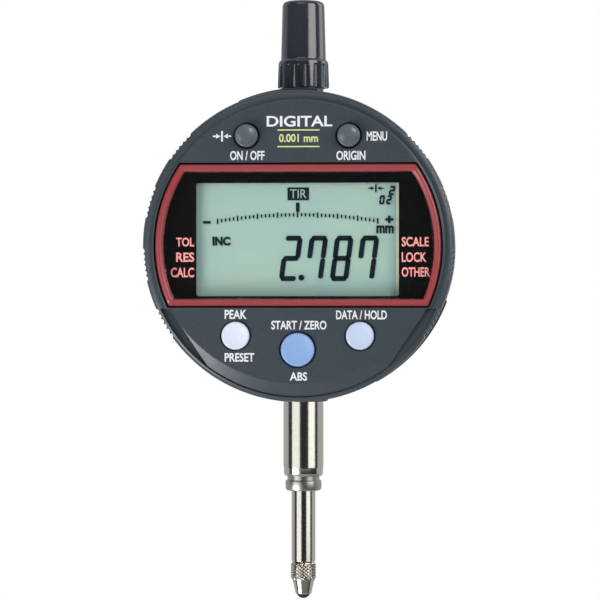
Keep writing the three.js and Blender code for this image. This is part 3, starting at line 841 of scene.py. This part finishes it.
PRINT_Y = FACE + 0.002
MASK_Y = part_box("window_mask")[0].y / MM + 0.002
INK_Y = PANEL_Y - 0.05
WORDS = {  # words: left, right, bottom and top on the face
    "ON / OFF": (-13.1, -6.4, 16.55, 18.35), "ORIGIN": (7.5, 13.1, 16.5, 18.3),
    "MENU": (13.35, 17.3, 20.2, 22.0), "PEAK": (-14.15, -9.9, -14.15, -12.4),
    "PRESET": (-14.15, -8.4, -22.45, -20.75), "START / ZERO": (-5.1, 5.6, -16.2, -14.5),
    "ABS": (-1.5, 1.85, -26.1, -24.45), "DATA / HOLD": (7.45, 17.25, -14.25, -12.5),
    "DIGITAL": (-6.0, 6.7, 23.0, 25.1),
}
MENU_WORDS = {
    "TOL": (-23.8, -20.3, -0.1, 1.65), "RES": (-23.8, -20.3, -3.1, -1.25),
    "CALC": (-24.85, -20.3, -6.1, -4.2), "SCALE": (20.05, 25.3, -0.15, 1.7),
    "LOCK": (20.05, 24.85, -3.15, -1.25), "OTHER": (20.05, 25.5, -6.0, -4.15),
}
print(len(WORDS) + len(MENU_WORDS), "printed words")


# %% [markdown]
# The set-zero mark beside the first key is an upright bar between two arrows. The panel shows the
# same mark smaller, so one function makes both.

# %% The set-zero mark
def zero_mark(width, height, depth):
    """Two arrows that point at an upright bar, round the origin, in mm."""
    stroke = height * 0.09
    parts = [block("mark_bar", (-stroke, -depth, -height / 2), (stroke, 0, height / 2))]
    for side in (1, -1):
        low, high = sorted((side * width * 0.25, side * width / 2))
        shaft = block("mark_shaft", (low, -depth, -stroke * 0.75), (high, 0, stroke * 0.75))
        head = fresh("mark_head", bpy.ops.mesh.primitive_cylinder_add, vertices=3,
                     radius=height * 0.27 * MM, depth=depth * MM,
                     rotation=(math.pi / 2, -side * math.pi / 2, 0),
                     location=(side * width * 0.24 * MM, -depth / 2 * MM, 0))
        parts.append(added(shaft, settled(head)))
    return joined("zero_mark", parts)


def on_face(piece, x, z, front):
    piece.data.transform(Matrix.Translation((x * MM, front * MM, CENTRE_Z + z * MM)))
    return piece


# %% Print the face, the plate and the badge
face_words = [
    printed("face_word", words, *place, PRINT_Y, bold=0.022) for words, place in WORDS.items()
]
face_words.append(on_face(zero_mark(3.6, 2.05, 0.03), -14.66, 21.2, PRINT_Y))
face_print = joined("face_print", face_words)
finished(face_print, "display", white_ink)

menu_print = joined("menu_print", [
    printed("menu_word", words, *place, MASK_Y, bold=0.022) for words, place in MENU_WORDS.items()
])
finished(menu_print, "display", salmon_ink)

badge = [printed("badge_word", "0.001 mm", -3.6, 3.95, 20.0, 21.6, PRINT_Y, bold=0.022)]
for level in (19.15, 22.35):
    line = block("badge_line", (-3.9, PRINT_Y - 0.03, centre_mm + level - 0.12),
                 (4.25, PRINT_Y, centre_mm + level + 0.12))
    badge.append(line)
finished(joined("badge_print", badge), "display", pale_ink)

# %% [markdown]
# The panel's own words are segments too: TIR in a dark box, INC and mm. The letters of TIR are
# left clear in the box, so they are made in the panel's own finish and laid on it.

# %% Words on the panel
box_piece = rounded(block("tir_box", (-2.2, -0.03, -1.25), (2.0, 0, 1.25)), 0.1 * MM, 2)
lcd_pieces.append(on_panel(box_piece, 0, 10.15))
lcd_pieces.append(printed("inc_word", "INC", -16.85, -13.35, 0.1, 1.85, INK_Y, bold=0.055))
lcd_pieces.append(printed("mm_word", "mm", 15.1, 18.45, 2.45, 4.0, INK_Y, bold=0.04))
lcd_pieces.append(on_panel(zero_mark(3.0, 1.6, 0.03), 15.0, 11.2))
segments = joined("lcd_segments", lcd_pieces)
shadow = copied(segments, "lcd_segment_shadow", move=(0.13 * MM, 0.035 * MM, -0.13 * MM))
finished(segments, "display", lcd_ink)
finished(shadow, "display", lcd_shadow)
tir = printed("tir_word", "TIR", -1.7, 1.5, 9.3, 11.0, INK_Y - 0.03, thick=0.02)
finished(tir, "display", lcd_ground)

# %% [markdown]
# ## The keys
#
# Each key has a round head with a raised edge round a shallow dish, which a fingertip finds
# without looking. The two grey ones stand further out than the three that are used most.

# %% Turn the keys
KEY_SLOTS = {entry["node"]: entry["material_slot"] for entry in frame["record"]["subparts"]}


def key(name):
    x, z, r = key_place(name)
    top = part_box(name)[0].y / MM
    dish = 0.5 if top < -19 else 0.32
    return turned(name + "_key", [
        (0, top + dish), (r * 0.45, top + dish * 0.85), (r - 0.75, top + dish * 0.45),
        (r - 0.5, top + 0.05), (r - 0.35, top), (r - 0.2, top + 0.04), (r - 0.06, top + 0.15),
        (r, top + 0.35), (r, -15.9), (r + 0.7, -15.9), (r + 0.7, -15.2), (0, -15.2),
    ], centre=(x * MM, 0, (centre_mm + z) * MM), steps=72)


for name in KEY_NODES:
    slot = KEY_SLOTS[name]
    finished(key(name), name, keys[slot], [name], angle=40)

# %% [markdown]
# ## The case
#
# The case behind the display is a cup, closed by the back plate. What shows of it is its side
# wall, so that wall gets its real features: a shallow groove, the slots of the battery tray and
# of the data socket, and a raised pad at the top where a lifting lever goes.

# %% Turn the case and cut its slots
TRAY_ANGLE = 41
TRAY_Y = (1.2, 6.0)
SOCKET_Y = (-1.2, 3.8)
GAP = 0.3


def wedge(name, radius, start, end, depth):
    """A slice of a disc about the display's axis, between two angles in degrees from +X."""
    middle, half = math.radians((start + end) / 2), math.radians((end - start) / 2)
    disc = bar(name, (0, sum(depth) / 2, centre_mm), radius, depth[1] - depth[0], vertices=256)
    bpy.ops.object.mode_set(mode="EDIT")
    for side in (1, -1):
        edge = middle + side * half
        outward = (-side * math.sin(edge), 0, side * math.cos(edge))
        bpy.ops.mesh.select_all(action="SELECT")
        bpy.ops.mesh.bisect(plane_co=DISPLAY_CENTRE, plane_no=outward, clear_outer=True,
                            use_fill=True)
    bpy.ops.object.mode_set(mode="OBJECT")
    return disc


def case_shell():
    rim = CASE_R / MM
    return turned("case_wall", [
        (12, -9.6), (13, -9.6), (13, -8.7), (14, -8.7), (14, -6.8), (21.3, -6.8), (21.3, -5.8),
        (22.7, -5.8), (22.7, -6.8), (29.5, -6.8), (29.9, -6.7), (rim - 0.1, -6.4), (rim, -6.0),
        (rim, -3.4), (rim - 0.35, -3.15), (rim - 0.35, -2.65), (rim, -2.4),
        (rim, 6.8), (rim - 0.12, 7.1), (rim - 0.4, 7.2), (28.3, 7.2), (28.3, -5), (12, -5),
    ], centre=display_at, steps=192)


def along_turned(degrees):
    """The frame of a slot that looks out of the case: X runs outward, below the horizontal."""
    return Matrix.Translation(DISPLAY_CENTRE) @ Matrix.Rotation(math.radians(degrees), 4, "Y")


def tray_outline(name, margin, depth, reach=33):
    """A slab with one round end, as seen from the front, that runs out of the case."""
    r = 10.75 + margin
    slab = bar(name, (19.2, sum(depth) / 2, 0), r, depth[1] - depth[0], vertices=96)
    return drawn_out(slab, 0, 19.2, reach)


def in_slot_frame(piece, degrees):
    piece.data.transform(along_turned(degrees))
    return piece


tray_slot = in_slot_frame(tray_outline("tray_slot", GAP, (TRAY_Y[0] - GAP, TRAY_Y[1] + GAP)),
                          TRAY_ANGLE)
socket_slot = in_slot_frame(block("socket_slot", (20, SOCKET_Y[0] - GAP, -5.8),
                                  (33, SOCKET_Y[1] + GAP, 5.8)), 180 - TRAY_ANGLE)
case = case_shell()
lever_pad = rounded(wedge("lever_pad", 31.5, 84, 113.5, (-6.2, 5.5)), 0.35 * MM)
cut(lever_pad, bar("pad_core", (0, 0, centre_mm), 29, 14, vertices=96))
neck = turned("cap_neck", [(0, 28.9), (4, 28.9), (4, 34.7), (3.7, 35), (0, 35)], "Z",
              DISPLAY_CENTRE)
stem_seat = turned("stem_seat", [(0, -28.9), (0, -30.7), (4.7, -30.7), (4.9, -30.5),
                                 (4.9, -28.9)], "Z", DISPLAY_CENTRE)
added(case, lever_pad, neck, stem_seat)
cut(case, bar("bore_up", (0, 0, centre_mm + 26), 4.3, 7, "Z"),
    bar("neck_bore", (0, 0, centre_mm + 32), 2.9, 8, "Z"),
    bar("bore_down", (0, 0, centre_mm - 30), 4.15, 8, "Z"), tray_slot, socket_slot)
finished(case, "case", case_plastic, ["case_housing"], angle=30)
print("case:", len(case.data.polygons), "faces")

# %% [markdown]
# The back plate is a disc with a rounded edge. It carries the lug, a flat tongue with a round end
# and a cross hole, by which the indicator is bolted to a stand. The plate is turned, the lug's
# outline is half of a round bar drawn out straight, and bevels soften the edges.

# %% Back plate, lug and screws
LUG_Y, LUG_R, LUG_HALF = 19.5, 6.5, 2.5


def back_plate():
    rim, front, rear = CASE_R / MM, back_low.y / MM, 9.5
    plate = turned("back_plate", [
        (0, front), (rim - 0.2, front), (rim, front + 0.2), (rim, rear - 0.8),
        (rim - 0.25, rear - 0.3), (rim - 0.8, rear), (27.2, rear), (27.0, rear - 0.25),
        (26.6, rear - 0.25), (26.4, rear), (0, rear),
    ], centre=display_at, steps=192)
    foot = block("lug_foot", (-LUG_HALF - 1.5, rear - 0.5, centre_mm - LUG_R - 1.5),
                 (LUG_HALF + 1.5, rear + 1.2, centre_mm + LUG_R + 1.5))
    rounded(foot, 0.7 * MM, 3)
    lug = bar("lug", (0, LUG_Y, centre_mm), LUG_R, 2 * LUG_HALF, "X", 96)
    rounded(drawn_out(lug, 1, LUG_Y, rear - 0.4), 0.45 * MM, 3, 50)
    added(plate, foot, lug)
    hole = turned("lug_hole", [
        (0, -4), (4.1, -4), (3.25, -2.1), (3.25, 2.1), (4.1, 4), (0, 4),
    ], "X", (0, LUG_Y * MM, CENTRE_Z), 64)
    return cut(plate, hole)


def screw_seat(name):
    low, high = (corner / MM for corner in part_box(name))
    return turned("seat_" + name, [
        (0, 8.4), (2.6, 8.4), (2.6, 9.3), (2.85, 9.6), (2.85, 10.5), (0, 10.5),
    ], centre=((low.x + high.x) / 2 * MM, 0, (low.z + high.z) / 2 * MM), steps=48)


BACK_SCREWS = [f"back_screw_{i}" for i in range(1, 5)]
plate_back = cut(back_plate(), *[screw_seat(name) for name in BACK_SCREWS])
finished(plate_back, "case", case_plastic, ["lug_back"])

# %% [markdown]
# The screws have domed heads with a cross recess. A cross of two tapered bars is cut out of one
# turned head, and the finished screw is copied to the other three places.

# %% One screw, copied four times
def cross_screw(name, head, top, shank, tip, recess):
    """A screw along +Y, in mm, round the origin, with its head's top at the given place."""
    screw = turned(name, [
        (0, tip), (shank * 0.75, tip), (shank, tip + 0.4), (shank, top - 0.55), (head, top - 0.55),
        (head, top - 0.25), (head * 0.8, top - 0.06), (head * 0.45, top), (0, top),
    ], steps=48)
    half = recess * 0.26
    for turn in (0, 90):
        slot = block("recess", (-recess, top - 0.4, -half), (recess, top + 1, half))
        cut(screw, copied(slot, "recess_turned", turn + 20))
        bpy.data.objects.remove(slot)
    return screw


def screws_at(pattern, nodes, body, material):
    for name in nodes:
        low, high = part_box(name)
        place = ((low.x + high.x) / 2, 0, (low.z + high.z) / 2)
        screw = copied(pattern, name + "_turned", 37 * (len(name) + nodes.index(name)), move=place)
        finished(screw, body, material, [name])
    bpy.data.objects.remove(pattern)


screws_at(cross_screw("back_screw", 2.3, 9.4, 1.25, 0, 1.35), BACK_SCREWS, "case", satin_steel)
print("four back screws")

# %% [markdown]
# ## Battery tray and data cover
#
# The tray is a flat tongue with a well for the coin cell. Its outer face carries on the curve of
# the case and has a finger notch. The data socket is closed by a soft rubber plug with a row of
# grip ribs. The cover's parts are left as shells of their own, joined in one object.

# %% Tray, cell and cover
def battery_tray():
    tray = tray_outline("battery_tray_piece", 0, TRAY_Y)
    in_slot_frame(tray, TRAY_ANGLE)
    disc = bar("tray_disc", (0, 3.6, centre_mm), 30.6, 9, vertices=256)
    kept(tray, disc)
    rounded(tray, 0.2 * MM, 2, 50)
    well = bar("well", (19.2, 2.5, 0), 10.3, 5.2, vertices=96)
    notch = bar("notch", (31.0, 6.2, 0), 1.3, 9, "Z", 32)
    rounded(notch, 0.5 * MM, 2, 60)
    return cut(tray, in_slot_frame(well, TRAY_ANGLE), in_slot_frame(notch, TRAY_ANGLE))


finished(battery_tray(), "tray", case_plastic, ["battery_tray"])
cell = turned("coin_cell", [
    (0, 1.6), (8.6, 1.6), (8.75, 1.75), (8.9, 1.75), (9.0, 1.6), (9.8, 1.6), (10, 1.8), (10, 4.5),
    (9.7, 4.8), (6, 4.8), (5.9, 4.72), (0, 4.72),
], centre=(19.2 * MM, 0, 0), steps=96)
in_slot_frame(cell, TRAY_ANGLE)
finished(cell, "tray", satin_steel, ["battery_cell"])


def data_cover():
    flange = block("data_cover_piece", (28.2, SOCKET_Y[0], -5.5), (32, SOCKET_Y[1], 5.5))
    in_slot_frame(flange, 180 - TRAY_ANGLE)
    kept(flange, bar("cover_disc", (0, 1.3, centre_mm), 30.5, 9, vertices=256))
    rounded(flange, 0.35 * MM, 3, 50)
    grips = []
    for z in (-3.6, -2.4, -1.2, 0, 1.2, 2.4, 3.6):
        rib = block("grip", (29.9, -0.6, z - 0.22), (30.8, 3.2, z + 0.22))
        grips.append(in_slot_frame(rounded(rib, 0.12 * MM, 2), 180 - TRAY_ANGLE))
    plug = in_slot_frame(rounded(block("plug", (24.6, 0.1, -4.3), (28.7, 2.5, 4.3)), 0.4 * MM),
                         180 - TRAY_ANGLE)
    return joined("data_cover_piece", [flange, plug, *grips])


finished(data_cover(), "socket_cover", rubber, ["data_cap"])

# %% [markdown]
# ## Stem, spindle and contact point
#
# All three are turned on a lathe and then ground. The stem's mouth is chamfered, and the nut in it
# shows as a fine groove and a short collar. They are given many sides, because a ground bar shows
# long clean reflections, and any flat would break them.

# %% Stem, nut and spindle
stem_piece = turned("stem_tube", [
    (2.9, 5), (2.9, 16.3), (4.7, 16.3), (4.7, 14.8), (4, 14.8), (4, -6.35), (3.92, -6.5),
    (3.92, -7.55), (3.88, -7.65), (3.7, -8.05), (3.6, -8.1), (3.5, -8.1), (3.5, 5),
], "Z", steps=192)
finished(stem_piece, "case", steel, ["stem"])

nut = turned("stem_collar", [
    (2.7, -5), (3.2, -5), (3.2, -8.95), (3.4, -8.95), (3.58, -9.1), (3.6, -9.3), (3.6, -10.5),
    (3.5, -10.8), (3.25, -11), (3.15, -11), (3.15, -10), (2.7, -10),
], "Z", steps=128)
finished(nut, "case", satin_steel, ["stem_nut"])

top_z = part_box("spindle")[1].z / MM
spindle_piece = turned("spindle_bar", [
    (1.55, -25.2), (2.3, -25.2), (2.38, -25.12), (2.38, top_z - 0.4), (2.1, top_z - 0.08),
    (1.9, top_z), (0, top_z), (0, -19), (1.55, -19.6),
], "Z", steps=160)
finished(spindle_piece, "spindle", steel, ["spindle"])

# %% [markdown]
# The contact point is gripped by its diamond knurl, the pattern of small pyramids that two crossed
# sets of spiral grooves leave. Here the grip starts as a grid of squares round a cylinder. Poking
# each square gives it both diagonals, and every second corner is then raised into a point.

# %% Knurled grip and cone
KNURL_Z = (-28.75, -25.5)
KNURL_ROOT, KNURL_CREST = 2.2, 2.58
TEETH_ROUND, TEETH_HIGH = 20, 5


def knurled_grip():
    """A net of pyramids. Poking its squares gives edges along both sets of grooves."""
    height = KNURL_Z[1] - KNURL_Z[0]
    grip = fresh("knurled_grip", bpy.ops.mesh.primitive_cylinder_add, vertices=TEETH_ROUND * 2,
                 radius=KNURL_ROOT * MM, depth=height * MM, end_fill_type="NOTHING",
                 location=(0, 0, sum(KNURL_Z) / 2 * MM))
    settled(grip)
    bpy.ops.object.mode_set(mode="EDIT")
    for i in range(1, TEETH_HIGH * 2):
        level = (KNURL_Z[0] + height * i / (TEETH_HIGH * 2)) * MM
        bpy.ops.mesh.select_all(action="SELECT")
        bpy.ops.mesh.bisect(plane_co=(0, 0, level), plane_no=(0, 0, 1))
    bpy.ops.mesh.select_all(action="SELECT")
    bpy.ops.mesh.poke()
    bpy.ops.object.mode_set(mode="OBJECT")
    for vertex in grip.data.vertices:
        around = math.atan2(vertex.co.y, vertex.co.x) / (2 * math.pi) * TEETH_ROUND
        up = (vertex.co.z / MM - KNURL_Z[0]) / height * TEETH_HIGH
        grooves = [abs((around + lean * up) % 1 - 0.5) * 2 for lean in (1, -1)]
        crest = (1 - max(grooves)) * min(1, up * 2, (TEETH_HIGH - up) * 2)
        r = (KNURL_ROOT + (KNURL_CREST - KNURL_ROOT) * crest) * MM
        grow = r / math.hypot(vertex.co.x, vertex.co.y)
        vertex.co.x, vertex.co.y = vertex.co.x * grow, vertex.co.y * grow
    bpy.ops.object.mode_set(mode="EDIT")
    bpy.ops.mesh.select_all(action="DESELECT")
    bpy.ops.mesh.select_non_manifold()
    bpy.ops.mesh.edge_face_add()
    end_edit()
    return grip


def contact_point():
    core = turned("contact_tip", [
        (0, -20.5), (1.15, -20.5), (1.25, -20.7), (1.25, -25.3), (1.9, -25.3), (2.25, -25.42),
        (2.3, -25.55), (2.1, -25.7), (2.1, -28.6), (2.3, -28.76), (2.28, -28.9), (2.16, -29.0),
        (1.6, -31.55), (1.5, -31.7), (0, -31.7),
    ], "Z", steps=156)
    added(core, knurled_grip())
    socket = fresh("ball_seat", bpy.ops.mesh.primitive_uv_sphere_add, segments=64, ring_count=32,
                   radius=1.5 * MM, location=(0, 0, -31.15 * MM))
    return cut(core, settled(socket))


finished(contact_point(), "spindle", steel, ["contact_point"], angle=12)

ball = settled(fresh("ball_tip", bpy.ops.mesh.primitive_uv_sphere_add, segments=64, ring_count=32,
                     radius=1.45 * MM, location=(0, 0, -31.15 * MM)))
modified(ball, "BEVEL", width=0.01 * MM, segments=1, limit_method="ANGLE")
finished(ball, "spindle", carbide, ["contact_ball"])

# %% [markdown]
# ## The cap over the spindle
#
# The spindle's upper end runs up inside a hollow cap, which is lifted off to fit a lifting lever.
# The cap is moulded in a glossy plastic. Its skirt is fluted for grip: one round groove is copied
# round the axis and cut out.

# %% Turn the cap and flute it
FLUTES = 16


def spindle_cap():
    low, high = (corner.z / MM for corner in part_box("spindle_cap"))
    cap = turned("spindle_cover", [
        (4.3, low), (5, low), (5.12, low + 0.12), (5.1, low + 1), (4.97, 74.3), (4.9, 74.55),
        (4.62, 74.8), (4.5, 75), (4.47, 75.5),
        (4.2, high - 1.1), (4.08, high - 0.6), (3.8, high - 0.25), (3.3, high - 0.06),
        (2.6, high), (0, high), (0, 85.2), (3, 85.2), (3, 74.6), (4.3, 73.3),
    ], "Z", steps=FLUTES * 10)
    groove = bar("flute", (0, -5.7, low + 1.6), 0.98, 6.4, "Z", 32)
    rounded(groove, 0.5 * MM, 3, 60)
    flutes = [copied(groove, "flute_copy", 360 * (i + 0.5) / FLUTES, "Z") for i in range(FLUTES)]
    bpy.data.objects.remove(groove)
    return cut(cap, joined("flutes", flutes))


finished(spindle_cap(), "cap", cap_plastic, ["spindle_cap"])

# %% [markdown]
# ## Inside the case
#
# The return spring is a round wire wound as a helix: a circle of the wire's section, swept by a
# Screw modifier. Its upper end stays on the case and its lower end goes with the spindle.

# %% Wind the return spring
SPRING_R, WIRE_R, TURNS = 3.3, 0.25, 7


def return_spring():
    low, high = (corner.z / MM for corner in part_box("return_spring"))
    wire = fresh("return_coil", bpy.ops.mesh.primitive_circle_add, vertices=12, radius=WIRE_R * MM,
                 rotation=(math.pi / 2, 0, 0), location=(SPRING_R * MM, 0, (low + WIRE_R) * MM))
    settled(wire)
    pitch = (high - low - 2 * WIRE_R) / TURNS
    modified(wire, "SCREW", axis="Z", angle=2 * math.pi, screw_offset=pitch * MM,
             iterations=TURNS, steps=36, render_steps=36)
    bpy.ops.object.mode_set(mode="EDIT")
    bpy.ops.mesh.select_all(action="SELECT")
    bpy.ops.mesh.remove_doubles(threshold=1e-6)
    bpy.ops.mesh.select_all(action="DESELECT")
    bpy.ops.mesh.select_non_manifold()
    bpy.ops.mesh.edge_face_add()
    end_edit()
    return smoothed(wire, 60)


spring = return_spring()
spring.data.materials.append(steel)
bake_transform(spring)
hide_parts("return_spring")

# %% [markdown]
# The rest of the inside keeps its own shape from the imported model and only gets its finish: the
# bushes are brass, the seals rubber, the boards green with copper tracks under the lacquer.

# %% Finish the pieces that keep their shape
KEPT_PIECES = {
    brass: "lower_bush upper_bush data_pins battery_contact_negative battery_contact_positive",
    rubber: "spindle_wiper stop_bumper back_gasket display_seal lcd_connector_upper "
            "lcd_connector_lower",
    satin_steel: "guide_rail stop_collar scale_carrier carrier_screw sensor_screw_1 "
                 "sensor_screw_2 display_screw_1 display_screw_2 display_screw_3 display_screw_4",
    steel: "retaining_ring guide_pin",
    board_green: "sensor_board display_board",
    black_plastic: "sensor_chip data_socket lcd_holder",
    amber_film: "flex_ribbon",
    scale_glass: "scale_strip",
    silicone: "keypad_upper keypad_lower",
    front_plastic: "display_back",
}
for material, names in KEPT_PIECES.items():
    for name in names.split():
        piece = frame["nodes"][name]
        if not piece.material_slots:
            piece.data.materials.append(material)
        for place in piece.material_slots:
            place.material = material
print(sum(len(names.split()) for names in KEPT_PIECES.values()), "pieces keep their shape")

# %% [markdown]
# ## Studio
#
# Polished steel and glossy plastic show their surroundings, so the surroundings are most of the
# look. Soft boxes stand in front, left and right. The rest of the front is dark, which draws the
# black lines in the steel, and everything behind is white, which draws its bright edges.


# %% Floor and surroundings
def stage_floor():
    floor = fresh("floor", bpy.ops.mesh.primitive_circle_add, vertices=96, radius=1.1,
                  fill_type="NGON", location=(0, 0, -0.6))
    settled(floor)
    floor.data.materials.append(grained("pale_floor", (0.8, 0.8, 0.79, 1), 0.7, grain=4,
                                        variation=0.01, relief=0.01))


FRONT_LIGHT, REAR_LIGHT, BACKGROUND = 0.03, 0.55, 1.0


def surroundings():
    world = bpy.data.worlds.new("studio")
    bpy.context.scene.world = world
    world.use_nodes = True
    tree = world.node_tree
    tree.nodes.clear()

    def add(kind):
        return tree.nodes.new("ShaderNode" + kind)

    direction, parts = add("TexCoord"), add("SeparateXYZ")
    tree.links.new(direction.outputs["Generated"], parts.inputs["Vector"])
    side = add("MapRange")
    side.inputs["From Min"].default_value = -0.02
    side.inputs["From Max"].default_value = 0.1
    side.inputs["To Min"].default_value = FRONT_LIGHT
    side.inputs["To Max"].default_value = REAR_LIGHT
    tree.links.new(parts.outputs["Y"], side.inputs["Value"])
    lit, seen = add("Background"), add("Background")
    path, mix, out = add("LightPath"), add("MixShader"), add("OutputWorld")
    tree.links.new(side.outputs["Result"], lit.inputs["Strength"])
    seen.inputs["Strength"].default_value = BACKGROUND
    for background in (lit, seen):
        background.inputs["Color"].default_value = (1, 1, 1, 1)
    tree.links.new(path.outputs["Is Camera Ray"], mix.inputs["Fac"])
    tree.links.new(lit.outputs["Background"], mix.inputs[1])
    tree.links.new(seen.outputs["Background"], mix.inputs[2])
    tree.links.new(mix.outputs["Shader"], out.inputs["Surface"])


stage_floor()
surroundings()
bpy.context.scene.view_settings.view_transform = "Standard"

# %% [markdown]
# An area light's power spreads over its area, so the brightness that a reflection shows is the
# power over pi times the area. The helper takes that brightness. The left and the right box stand
# at the height of the stem, so that they draw straight stripes down the steel. The cap's box and
# the side box do the same for the cap. The others are too high or too low for the steel to show
# them: they light the face, the chin and the top.


# %% Soft boxes
def soft_box(name, azimuth, elevation, distance, width, tall, brightness):
    """A soft box in degrees round and above the object, from the camera's side, facing it."""
    turn, lift = math.radians(azimuth), math.radians(elevation)
    level = math.cos(lift)
    out = Vector((math.sin(turn) * level, -math.cos(turn) * level, math.sin(lift)))
    light = bpy.data.lights.new(name, "AREA")
    light.shape = "RECTANGLE"
    light.size, light.size_y = width, tall
    light.energy = brightness * math.pi * width * tall
    box = bpy.data.objects.new(name, light)
    bpy.context.collection.objects.link(box)
    box.location = Vector((0, 0, 0.03)) + out * distance
    box.rotation_euler = (-out).to_track_quat("-Z", "Y").to_euler()
    return box


left_box = soft_box("left_box", -41.3, 0, 0.62, 0.53, 0.44, 1.35)
left_box.location.z = -0.14
right_box = soft_box("right_box", 52, 0, 0.62, 0.45, 0.22, 1.6)
right_box.location.z = 0.01
cap_box = soft_box("cap_box", 51, 0, 0.62, 0.46, 0.44, 4.4)
cap_box.location.z = 0.35
side_box = soft_box("side_box", 112, 0, 0.62, 0.3, 0.44, 1.6)
side_box.location.z = 0.33
soft_box("high_box", -12, 46, 0.7, 0.45, 0.3, 1.4)
soft_box("chin_box", -50, -31, 0.6, 0.26, 0.22, 12)
soft_box("top_box", 0, 80, 0.7, 0.8, 0.5, 0.3)

# %% [markdown]
# The camera stands level with the display's lower edge and a few degrees to the right, at about
# half a metre, with a long lens, which keeps the display round.

# %% Camera
CAMERA_TURN, CAMERA_DISTANCE, LENS = 3.7, 0.53, 159
LOOK_AT = Vector((-0.0007, 0, 0.027))


def camera():
    turn = math.radians(CAMERA_TURN)
    data = bpy.data.cameras.new("camera")
    data.lens, data.sensor_width, data.clip_start = LENS, 36, 0.01
    eye = bpy.data.objects.new("camera", data)
    bpy.context.collection.objects.link(eye)
    back = Vector((math.sin(turn), -math.cos(turn), 0))
    eye.location = LOOK_AT + back * CAMERA_DISTANCE
    eye.rotation_euler = (-back).to_track_quat("-Z", "Y").to_euler()
    bpy.context.scene.camera = eye


camera()
